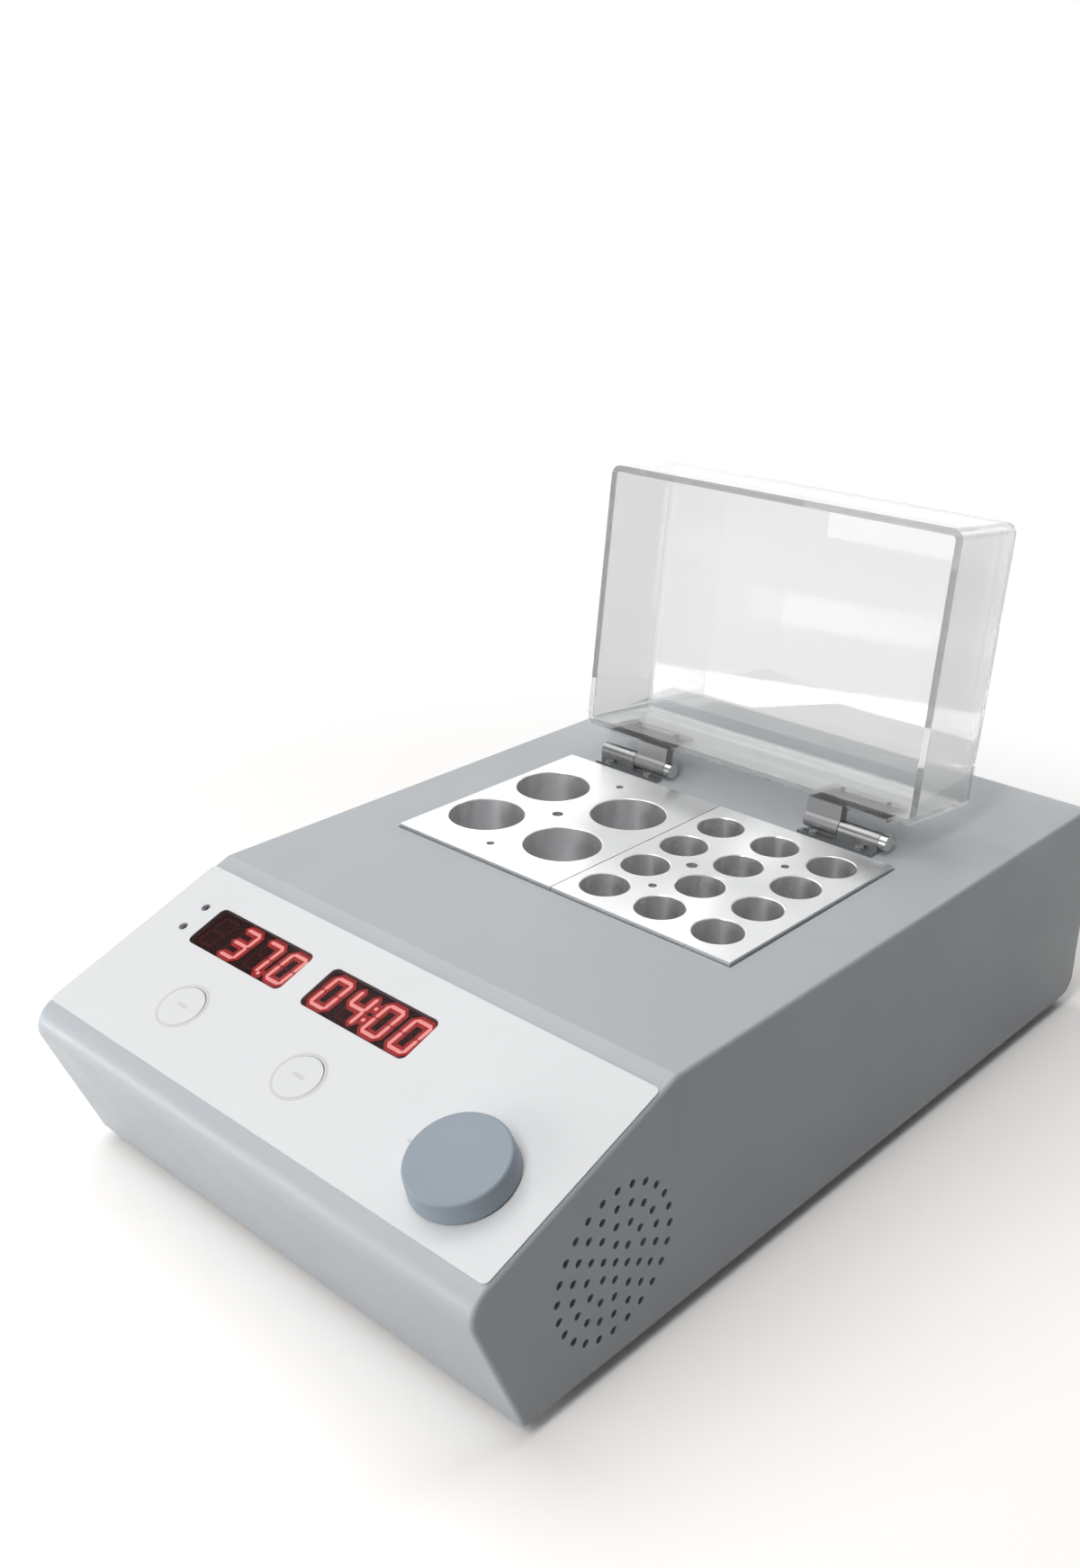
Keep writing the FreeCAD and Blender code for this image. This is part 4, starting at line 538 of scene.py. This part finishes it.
class DRYBATH_OT_finishes(bpy.types.Operator):
    """Make the shader groups and every finish"""
    bl_idname = "drybath.finishes"
    bl_label = "Make finishes"

    def execute(self, context):
        look = context.scene.drybath_finish
        panel = context.scene.drybath_panel
        GROUPS["grain"] = make_grain_group()
        GROUPS["tone"] = make_tone_group()
        GROUPS["handling"] = make_handling_group()
        GROUPS["lines"] = make_stroke_group()
        FINISH["housing"] = satin("housing_paint", look.housing, 0.36, 0.46, 2200.0, 0.10, 1.03,
                                  Specular_IOR_Level=0.45)
        FINISH["overlay"] = satin("overlay_film", look.overlay, 0.32, 0.42, 3200.0, 0.08, 1.01,
                                  Specular_IOR_Level=0.4)
        FINISH["key"] = satin("key_film", look.overlay, 0.34, 0.46, 3200.0, 0.08, 0.985,
                              Specular_IOR_Level=0.4)
        FINISH["ring"] = satin("key_print", (0.62, 0.62, 0.62), 0.40, 0.50, 3200.0, 0.05, 0.95)
        FINISH["mark"] = satin("rocker_print", (0.75, 0.75, 0.74), 0.40, 0.50, 3200.0, 0.05, 0.95)
        FINISH["knob"] = satin("knob_plastic", look.knob, 0.38, 0.50, 2600.0, 0.10, 1.04,
                               Specular_IOR_Level=0.4)
        FINISH["black"] = satin("black_plastic", (0.022, 0.022, 0.024), 0.32, 0.46, 1500.0, 0.2, 1.4)
        FINISH["rubber"] = satin("foot_rubber", (0.035, 0.035, 0.036), 0.65, 0.8, 1100.0, 0.3, 1.3)
        FINISH["component"] = satin("component_resin", (0.05, 0.05, 0.055), 0.4, 0.55, 1500.0, 0.2, 1.2)
        FINISH["board"] = satin("board_laminate", (0.03, 0.16, 0.07), 0.3, 0.42, 1200.0, 0.15, 0.8)
        FINISH["wool"] = satin("mineral_wool", (0.62, 0.58, 0.48), 0.85, 0.95, 500.0, 0.9, 0.85)
        FINISH["silicone"] = satin("heater_silicone", (0.42, 0.12, 0.06), 0.5, 0.65, 900.0, 0.3, 0.9)
        FINISH["ceramic"] = satin("glazed_ceramic", (0.78, 0.77, 0.72), 0.15, 0.25, 700.0, 0.1, 0.95)
        FINISH["block"] = metal("block_aluminium", look.block, 0.30, 0.34, (900.0, 60.0, 900.0), 0.12, 30.0,
                                look.bore, Anisotropic=0.85, Anisotropic_Rotation=0.25)
        FINISH["liner"] = metal("liner_steel", (0.60, 0.61, 0.62), 0.25, 0.38, (80.0, 80.0, 1800.0), 0.2)
        FINISH["steel"] = metal("bright_steel", (0.72, 0.72, 0.71), 0.16, 0.28, (60.0, 1800.0, 1800.0), 0.15)
        FINISH["hinge"] = metal("hinge_zinc", (0.33, 0.335, 0.34), 0.28, 0.38, (60.0, 1500.0, 1500.0), 0.2)
        FINISH["bracket"] = metal("bracket_zinc", (0.30, 0.30, 0.305), 0.42, 0.55,
                                  (60.0, 1500.0, 1500.0), 0.2)
        FINISH["contact"] = metal("contact_brass", (0.78, 0.62, 0.35), 0.2, 0.3, (1500.0, 60.0, 1500.0), 0.1)
        FINISH["acrylic"] = clear("clear_acrylic_rim_shade", look.acrylic, 0.0, 0.05,
                                  Transmission_Weight=0.9, Alpha=0.75)
        # Painted shade: a thin dark grey band on the cover's rim at its mouth
        mouth = Vector((0, -math.cos(LID_LEAN), math.sin(LID_LEAN)))
        reach = max(mouth.dot(corner.co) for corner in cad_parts["lid_cover"].data.vertices)
        paint_rim_shade(FINISH["acrylic"], mouth, reach - RIM_SHADE_DEPTH, look.rim)
        FINISH["window"] = clear("smoked_window", (0.02, 0.003, 0.003), 0.03, 0.10, Alpha=0.40,
                                 Specular_IOR_Level=0.12)
        FINISH["lamp"] = satin("smoked_lamp", (0.03, 0.03, 0.035), 0.10, 0.18, 2600.0, 0.02, 1.3,
                               Coat_Weight=0.4)
        FINISH["display"] = satin("display_face", (0.008, 0.002, 0.002), 0.6, 0.7, 2600.0, 0.02, 1.3,
                                  Specular_IOR_Level=0.1)
        FINISH["unlit"] = satin("unlit_segment", (0.05, 0.008, 0.008), 0.6, 0.7, 2600.0, 0.02, 1.3,
                                Specular_IOR_Level=0.1)
        FINISH["lit"] = glow("lit_segment", panel.segment_colour, 1.15)
        FINISH["halo"] = glow("segment_halo", panel.halo_colour, 1.1)
        return {"FINISHED"}


class DRYBATH_OT_frame_finish(bpy.types.Operator):
    """Coat the parts that come with the frame"""
    bl_idname = "drybath.frame_finish"
    bl_label = "Coat the frame"

    def execute(self, context):
        coat(["top_housing", "base_plate"], "housing")
        coat(["panel_overlay"], "overlay")
        coat(["left_key", "right_key"], "key")
        coat(["control_knob"], "knob")
        coat(["temperature_lens", "timer_lens"], "window")
        coat(["temperature_display", "timer_display"], "display")
        coat(["indicator_leds"], "lamp")
        coat(["left_block", "right_block", "heater_plate", "heat_sink"], "block")
        coat(["well_liner"], "liner")
        coat(["lid_cover", "fuse"], "acrylic")
        coat(["hinge_pins", "hinge_base_screws", "foot_screws", "control_board_screws", "inlet_screws",
              "fan_screws", "encoder_nut", "encoder_shaft", "encoder_plunger", "temperature_sensor",
              "power_board_stands"], "steel")
        coat(["hinge_base_leaves"], "hinge")
        coat(["hinge_lid_leaves", "hinge_lid_screws"], "bracket")
        coat(["rubber_feet"], "rubber")
        coat(["power_inlet", "rocker_switch_body", "rocker", "fuse_drawer"], "black")
        coat(["inlet_blades"], "contact")
        coat(["control_board", "power_board"], "board")
        coat(["key_switches", "encoder_body", "transformer", "capacitors", "heater_relay", "fan_frame",
              "fan_rotor"], "component")
        coat(["well_insulation", "heater_pad"], "wool")
        coat(["heater_mat"], "silicone")
        coat(["heater_posts", "thermal_cutout"], "ceramic")
        return {"FINISHED"}


# Display digits

SEGMENTS = {"0": "abcdef", "3": "abcdg", "4": "bcfg", "7": "abc"}

# What each display shows: its signs, then its dots as digit pitches across and digit heights up
DISPLAYS = {
    "temperature_display": (" 370", [(0.9, -0.5)]),
    "timer_display": ("0400", [(0, -0.22), (0, 0.22)]),
}
DISPLAY_WIDTH, DISPLAY_HEIGHT, DISPLAY_CORNER = 47.2 * MM, 16.2 * MM, 2.2 * MM
FILM_DEPTH = 0.06 * MM
SEGMENT_GAP = 0.14 * MM

# Layers over a display's face: source bar, finish, level, and whether it holds the lit segments
LAYERS = (("segment", "unlit", 1, False), ("halo", "halo", 2, True), ("segment", "lit", 3, True))

# Shares of its width that a bar's points and a dot's corners take
POINT_SHARE = 0.46
DOT_CORNER_SHARE = 0.3


def segment_places(width, height):
    """Centre and turn of each segment of a digit about the digit's centre."""
    half, quarter = width / 2, height / 4
    return {
        "a": (0, 2 * quarter, 0), "g": (0, 0, 0), "d": (0, -2 * quarter, 0),
        "b": (half, quarter, 90), "c": (half, -quarter, 90),
        "f": (-half, quarter, 90), "e": (-half, -quarter, 90),
    }


def make_film(name, width, height, depth, corner, steps=6):
    """Thin sheet with rounded or cut corners, about its own centre."""
    bpy.ops.mesh.primitive_cube_add(size=1)
    film = bpy.context.active_object
    film.name = name
    film.scale = (width, height, depth)
    bpy.ops.object.transform_apply(scale=True)
    edit_mesh(film, "EDGE")

    def upright(edge):
        ends = edge_ends(film, edge)
        return abs(ends[0].z - ends[1].z) > depth / 2

    pick(film.data.edges, upright)
    shape(bpy.ops.mesh.bevel, offset=corner, segments=steps)
    return film


def make_segment(name, length, stroke, depth):
    """One bar of a digit with pointed ends."""
    return make_film(name, length, stroke, depth, stroke * POINT_SHARE, 1)


def make_bars(look, inner_width, inner_height):
    """Level bar, upright bar and dot of a segment and of its halo."""
    bars = {}
    for kind, stroke in (("segment", look.stroke), ("halo", look.halo)):
        reach = stroke - look.stroke - SEGMENT_GAP
        bars[kind] = {
            0: make_segment(kind + "_level", inner_width + reach, stroke, FILM_DEPTH),
            90: make_segment(kind + "_upright", inner_height / 2 + reach, stroke, FILM_DEPTH),
            "dot": make_film(kind + "_dot", stroke, stroke, FILM_DEPTH, stroke * DOT_CORNER_SHARE),
        }
    return bars


def display_spots(look, inner_width, inner_height, text, dots):
    """Place, kind and state of every segment and dot of a display."""
    spots = []
    for place, sign in enumerate(text):
        x = (place - (len(text) - 1) / 2) * look.digit_pitch
        for key, (dx, dy, turn) in segment_places(inner_width, inner_height).items():
            spots.append((x, dx, dy, turn, key in SEGMENTS.get(sign, "")))
    for across, up in dots:
        spots.append((across * look.digit_pitch, 0, up * inner_height, "dot", True))
    return spots


def place_bar(source, name, lean, spot):
    """Copy of a bar, turned, leant with its digit and moved to its place."""
    x, dx, dy, turn, _ = spot
    bar = repeat(source, name)
    angle = 0 if turn == "dot" else math.radians(turn)
    bar.data.transform(Matrix.Rotation(angle, 4, "Z"))
    bar.data.transform(lean @ Matrix.Translation((dx, dy, 0)))
    bar.data.transform(Matrix.Translation((x, 0, 0)))
    return bar


class DRYBATH_OT_digits(bpy.types.Operator):
    """Build the faces, the glow and the segments of both displays"""
    bl_idname = "drybath.digits"
    bl_label = "Build display digits"

    def execute(self, context):
        look = context.scene.drybath_panel
        inner_width = look.digit_width - look.stroke
        inner_height = look.digit_height - look.stroke
        lean = Matrix.Identity(4)
        lean[0][1] = math.tan(look.slant)
        bars = make_bars(look, inner_width, inner_height)
        for node, (text, dots) in DISPLAYS.items():
            name = node.split("_")[0]
            centre = on_panel(node)
            face = panel_reach(node)
            spots = display_spots(look, inner_width, inner_height, text, dots)
            film = make_film(name + "_face", DISPLAY_WIDTH, DISPLAY_HEIGHT, FILM_DEPTH, DISPLAY_CORNER)
            film.data.transform(PANEL @ Matrix.Translation((centre.x, centre.y, face + FILM_DEPTH / 2)))
            dress(film, "chassis", FINISH["display"])
            for kind, finish, level, lit in LAYERS:
                pieces = [place_bar(bars[kind][spot[3]], name + "_bar", lean, spot)
                          for spot in spots if spot[4] == lit]
                piece = unite("%s_%s" % (name, finish), pieces)
                height = face + FILM_DEPTH * (level + 0.5)
                piece.data.transform(PANEL @ Matrix.Translation((centre.x, centre.y, height)))
                dress(piece, "chassis", FINISH[finish])
        for kind in bars.values():
            for source in kind.values():
                bpy.data.objects.remove(source)
        return {"FINISHED"}


# Prints on the panel, the keys and the rocker

PRINT_DEPTH = 0.05 * MM
KEY_RADIUS = 7.9 * MM
RING_GAP = 0.08 * MM
KEY_BAR = (5.2 * MM, 1.4 * MM)
DIAL_MARK = (3.2 * MM, 1.2 * MM)
DIAL_MARK_OFFSET = 21.5 * MM
ON_SIGN = (3.6 * MM, 0.8 * MM)
OFF_SIGN = (1.3 * MM, 2.0 * MM)


def make_ring(name, inner, outer, depth):
    """Flat ring printed on a surface."""
    bpy.ops.mesh.primitive_cylinder_add(vertices=96, radius=outer, depth=depth)
    ring = bpy.context.active_object
    ring.name = name
    edit_mesh(ring, "FACE")
    pick(ring.data.polygons, lambda face: abs(face.normal.z) > 0.9)
    shape(bpy.ops.mesh.inset, thickness=outer - inner, depth=0)
    pick(ring.data.polygons, lambda face: abs(face.normal.z) > 0.9 and len(face.vertices) > 4)
    shape(bpy.ops.mesh.bridge_edge_loops)
    return ring


def outward_face(node, low, high):
    """Middle and direction of the rear-facing part of a node between two heights."""
    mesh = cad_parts[node].data
    faces = [face for face in mesh.polygons if face.normal.y > 0.9 and low < face.center.z < high]
    area = sum(face.area for face in faces)
    middle = sum((face.center * face.area for face in faces), Vector()) / area
    return middle, faces[0].normal.copy()


def lay_on(middle, normal):
    """Matrix that takes a flat print to a place on a face, its top towards the sky."""
    across = Vector((0, 0, 1)).cross(normal).normalized()
    turn = Matrix((across, normal.cross(across), normal)).transposed().to_4x4()
    return Matrix.Translation(middle) @ turn


class DRYBATH_OT_prints(bpy.types.Operator):
    """Print the key rings and bars, the dial mark and the rocker's two signs"""
    bl_idname = "drybath.prints"
    bl_label = "Print marks"

    def execute(self, context):
        look = context.scene.drybath_panel
        surface = panel_reach("panel_overlay") + PRINT_DEPTH / 2
        for node in ("left_key", "right_key"):
            centre = on_panel(node)
            inner = KEY_RADIUS + RING_GAP
            ring = make_ring(node + "_ring", inner, inner + look.ring_width, PRINT_DEPTH)
            settle(ring, PANEL @ Matrix.Translation((centre.x, centre.y, surface)))
            smooth(ring)
            dress(ring, "chassis", FINISH["ring"])
            top = panel_reach(node) + PRINT_DEPTH / 2
            bar = make_segment(node + "_bar", *KEY_BAR, PRINT_DEPTH)
            settle(bar, PANEL @ Matrix.Translation((centre.x, centre.y, top)))
            dress(bar, node, FINISH["ring"])

        knob = on_panel("control_knob")
        mark = make_segment("dial_mark", *DIAL_MARK, PRINT_DEPTH)
        settle(mark, PANEL @ Matrix.Translation((knob.x - DIAL_MARK_OFFSET, knob.y, surface)))
        dress(mark, "chassis", FINISH["ring"])

        low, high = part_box("rocker")
        middle_height = (low.z + high.z) / 2
        place = lay_on(*outward_face("rocker", middle_height, high.z))
        bar = make_segment("rocker_on_sign", *ON_SIGN, PRINT_DEPTH)
        settle(bar, place @ Matrix.Rotation(math.radians(90), 4, "Z"))
        dress(bar, "rocker", FINISH["mark"])
        place = lay_on(*outward_face("rocker", low.z, middle_height))
        ring = make_ring("rocker_off_sign", *OFF_SIGN, PRINT_DEPTH)
        settle(ring, place)
        dress(ring, "rocker", FINISH["mark"])
        return {"FINISHED"}


# Studio

# Soft boxes: place, aim, width and height in metres, power in watts
LIGHTS = {
    "overhead": ((-0.6, -0.1, 1.7), (0, 0, 0.05), (1.6, 1.6), 16),
    "rear_top": ((0.3, 0.9, 1.5), (0, 0.1, 0.05), (0.8, 0.8), 4),
    "front_top": ((0.24, -1.2, 1.2), (0, 0, 0.05), (0.35, 0.8), 10.5),
    "front_low": ((-0.3, -1.6, 0.3), (0, 0, 0.05), (1.4, 0.4), 5),
    "nose_strip": ((-0.26, -0.43, 0.03), (0, -0.18, 0.05), (0.7, 0.03), 0.85),
}

# Floor: side length and drop in metres. Its lit colour is above 1, so that it burns out like the
# photographed sweep, and it turns into an even glare between two distances from the middle.
FLOOR_SIZE = 30
FLOOR_DROP = 0.2 * MM
FLOOR_LIT = (1.20, 1.17, 1.145, 1)
FLOOR_BOUNCE = (0.40, 0.40, 0.40, 1)
GLARE = 1.02
GLARE_START, GLARE_FULL = 0.24, 0.46

# Way to the bright screen in reflections, and where the dim room fades into it
SCREEN_SIDE = (-0.73, 0.68, 0.0)
SCREEN_START, SCREEN_FULL = 0.2, 0.7


def add_area(name, place, target, size, power):
    """Soft box that lights and reflects but isn't seen itself."""
    data = bpy.data.lights.new(name, "AREA")
    data.shape = "RECTANGLE"
    data.size, data.size_y = size
    data.energy = power
    light = bpy.data.objects.new(name, data)
    bpy.context.scene.collection.objects.link(light)
    light.visible_camera = False
    light.location = place
    light.rotation_euler = (Vector(target) - Vector(place)).to_track_quat("-Z", "Y").to_euler()


class DRYBATH_OT_stage(bpy.types.Operator):
    """Set the floor, lights, sky and camera"""
    bl_idname = "drybath.stage"
    bl_label = "Set the studio"

    def execute(self, context):
        scene = context.scene
        look = scene.drybath_stage
        bpy.ops.mesh.primitive_plane_add(size=FLOOR_SIZE, location=(0, 0, -FLOOR_DROP))
        floor = bpy.context.active_object
        floor.name = "studio_floor"
        floor.data.materials.append(self.floor_material())
        scene.world = self.sky(look)

        for name, (place, aim, size, power) in LIGHTS.items():
            add_area(name, place, aim, size, power)

        data = bpy.data.cameras.new("photo_camera")
        data.lens = look.focal_length
        data.sensor_fit = "AUTO"
        data.sensor_width = 36
        data.clip_start = 0.01
        data.clip_end = 60
        camera = bpy.data.objects.new("photo_camera", data)
        scene.collection.objects.link(camera)
        camera.location = look.camera_place
        camera.rotation_euler = look.camera_turn
        scene.camera = camera
        scene.view_settings.view_transform = "Standard"
        scene.view_settings.look = "None"
        scene.view_settings.exposure = 0.0
        return {"FINISHED"}

    def sky(self, look):
        """White studio: full white to the eye, bright behind and dim in front in reflections."""
        world = bpy.data.worlds.new("studio_sky")
        world.use_nodes = True
        tree = world.node_tree
        tree.nodes.clear()
        output = tree.nodes.new("ShaderNodeOutputWorld")
        seen = tree.nodes.new("ShaderNodeBackground")
        seen.inputs["Color"].default_value = (1, 1, 1, 1)
        seen.inputs["Strength"].default_value = look.white
        sky = tree.nodes.new("ShaderNodeBackground")
        sky.inputs["Color"].default_value = (0.98, 0.99, 1, 1)
        sky.inputs["Strength"].default_value = look.sky
        room = tree.nodes.new("ShaderNodeBackground")
        room.inputs["Color"].default_value = (1, 1, 1, 1)
        place = tree.nodes.new("ShaderNodeTexCoord")
        side = tree.nodes.new("ShaderNodeVectorMath")
        side.operation = "DOT_PRODUCT"
        side.inputs[1].default_value = SCREEN_SIDE
        fade = tree.nodes.new("ShaderNodeMapRange")
        fade.inputs["From Min"].default_value = SCREEN_START
        fade.inputs["From Max"].default_value = SCREEN_FULL
        fade.inputs["To Min"].default_value = look.room
        fade.inputs["To Max"].default_value = look.mirror
        path = tree.nodes.new("ShaderNodeLightPath")
        mirrored = tree.nodes.new("ShaderNodeMixShader")
        blend = tree.nodes.new("ShaderNodeMixShader")
        join_sockets(
            tree,
            (place.outputs["Generated"], side.inputs[0]),
            (side.outputs["Value"], fade.inputs["Value"]),
            (fade.outputs["Result"], room.inputs["Strength"]),
            (path.outputs["Is Glossy Ray"], mirrored.inputs[0]),
            (seen.outputs["Background"], mirrored.inputs[1]),
            (room.outputs["Background"], mirrored.inputs[2]),
            (path.outputs["Is Diffuse Ray"], blend.inputs[0]),
            (mirrored.outputs["Shader"], blend.inputs[1]),
            (sky.outputs["Background"], blend.inputs[2]),
            (blend.outputs["Shader"], output.inputs["Surface"]))
        return world

    def floor_material(self):
        """White sweep that burns out to full white away from the object."""
        material = bpy.data.materials.new("studio_floor")
        material.use_nodes = True
        tree = material.node_tree
        tree.nodes.clear()
        output = tree.nodes.new("ShaderNodeOutputMaterial")
        lit = tree.nodes.new("ShaderNodeBsdfDiffuse")
        lit.inputs["Color"].default_value = FLOOR_LIT
        glare = tree.nodes.new("ShaderNodeEmission")
        glare.inputs["Strength"].default_value = GLARE
        dim = tree.nodes.new("ShaderNodeBsdfDiffuse")
        dim.inputs["Color"].default_value = FLOOR_BOUNCE
        place = tree.nodes.new("ShaderNodeTexCoord")
        distance = tree.nodes.new("ShaderNodeVectorMath")
        distance.operation = "LENGTH"
        spread = tree.nodes.new("ShaderNodeMapRange")
        spread.inputs["From Min"].default_value = GLARE_START
        spread.inputs["From Max"].default_value = GLARE_FULL
        sweep = tree.nodes.new("ShaderNodeMixShader")
        path = tree.nodes.new("ShaderNodeLightPath")
        blend = tree.nodes.new("ShaderNodeMixShader")
        join_sockets(
            tree,
            (place.outputs["Object"], distance.inputs[0]),
            (distance.outputs["Value"], spread.inputs["Value"]),
            (spread.outputs["Result"], sweep.inputs[0]),
            (lit.outputs["BSDF"], sweep.inputs[1]),
            (glare.outputs["Emission"], sweep.inputs[2]),
            (path.outputs["Is Diffuse Ray"], blend.inputs[0]),
            (sweep.outputs["Shader"], blend.inputs[1]),
            (dim.outputs["BSDF"], blend.inputs[2]),
            (blend.outputs["Shader"], output.inputs["Surface"]))
        return material


class DRYBATH_PT_panel(bpy.types.Panel):
    """Steps that build the dry bath, in order"""
    bl_idname = "DRYBATH_PT_panel"
    bl_label = "Dry bath incubator"
    bl_space_type = "VIEW_3D"
    bl_region_type = "UI"
    bl_category = "Dry bath"

    def draw(self, context):
        column = self.layout.column()
        for operator in OPERATORS:
            column.operator(operator.bl_idname)
        for group in ("drybath_panel", "drybath_finish", "drybath_stage"):
            settings = getattr(context.scene, group)
            for name in settings.__annotations__:
                column.prop(settings, name)


SETTINGS = {"drybath_panel": PanelLook, "drybath_finish": FinishLook, "drybath_stage": StageLook}
OPERATORS = (
    DRYBATH_OT_finishes,
    DRYBATH_OT_frame_finish,
    DRYBATH_OT_digits,
    DRYBATH_OT_prints,
    DRYBATH_OT_stage,
)


def register():
    for group in SETTINGS.values():
        bpy.utils.register_class(group)
    for operator in OPERATORS:
        bpy.utils.register_class(operator)
    bpy.utils.register_class(DRYBATH_PT_panel)
    for name, group in SETTINGS.items():
        setattr(bpy.types.Scene, name, bpy.props.PointerProperty(type=group))


def unregister():
    for name in SETTINGS:
        delattr(bpy.types.Scene, name)
    bpy.utils.unregister_class(DRYBATH_PT_panel)
    for operator in reversed(OPERATORS):
        bpy.utils.unregister_class(operator)
    for group in SETTINGS.values():
        bpy.utils.unregister_class(group)


def main():
    register()
    bpy.ops.drybath.finishes()
    bpy.ops.drybath.frame_finish()
    bpy.ops.drybath.digits()
    bpy.ops.drybath.prints()
    bpy.ops.drybath.stage()


if __name__ == "__main__":
    main()
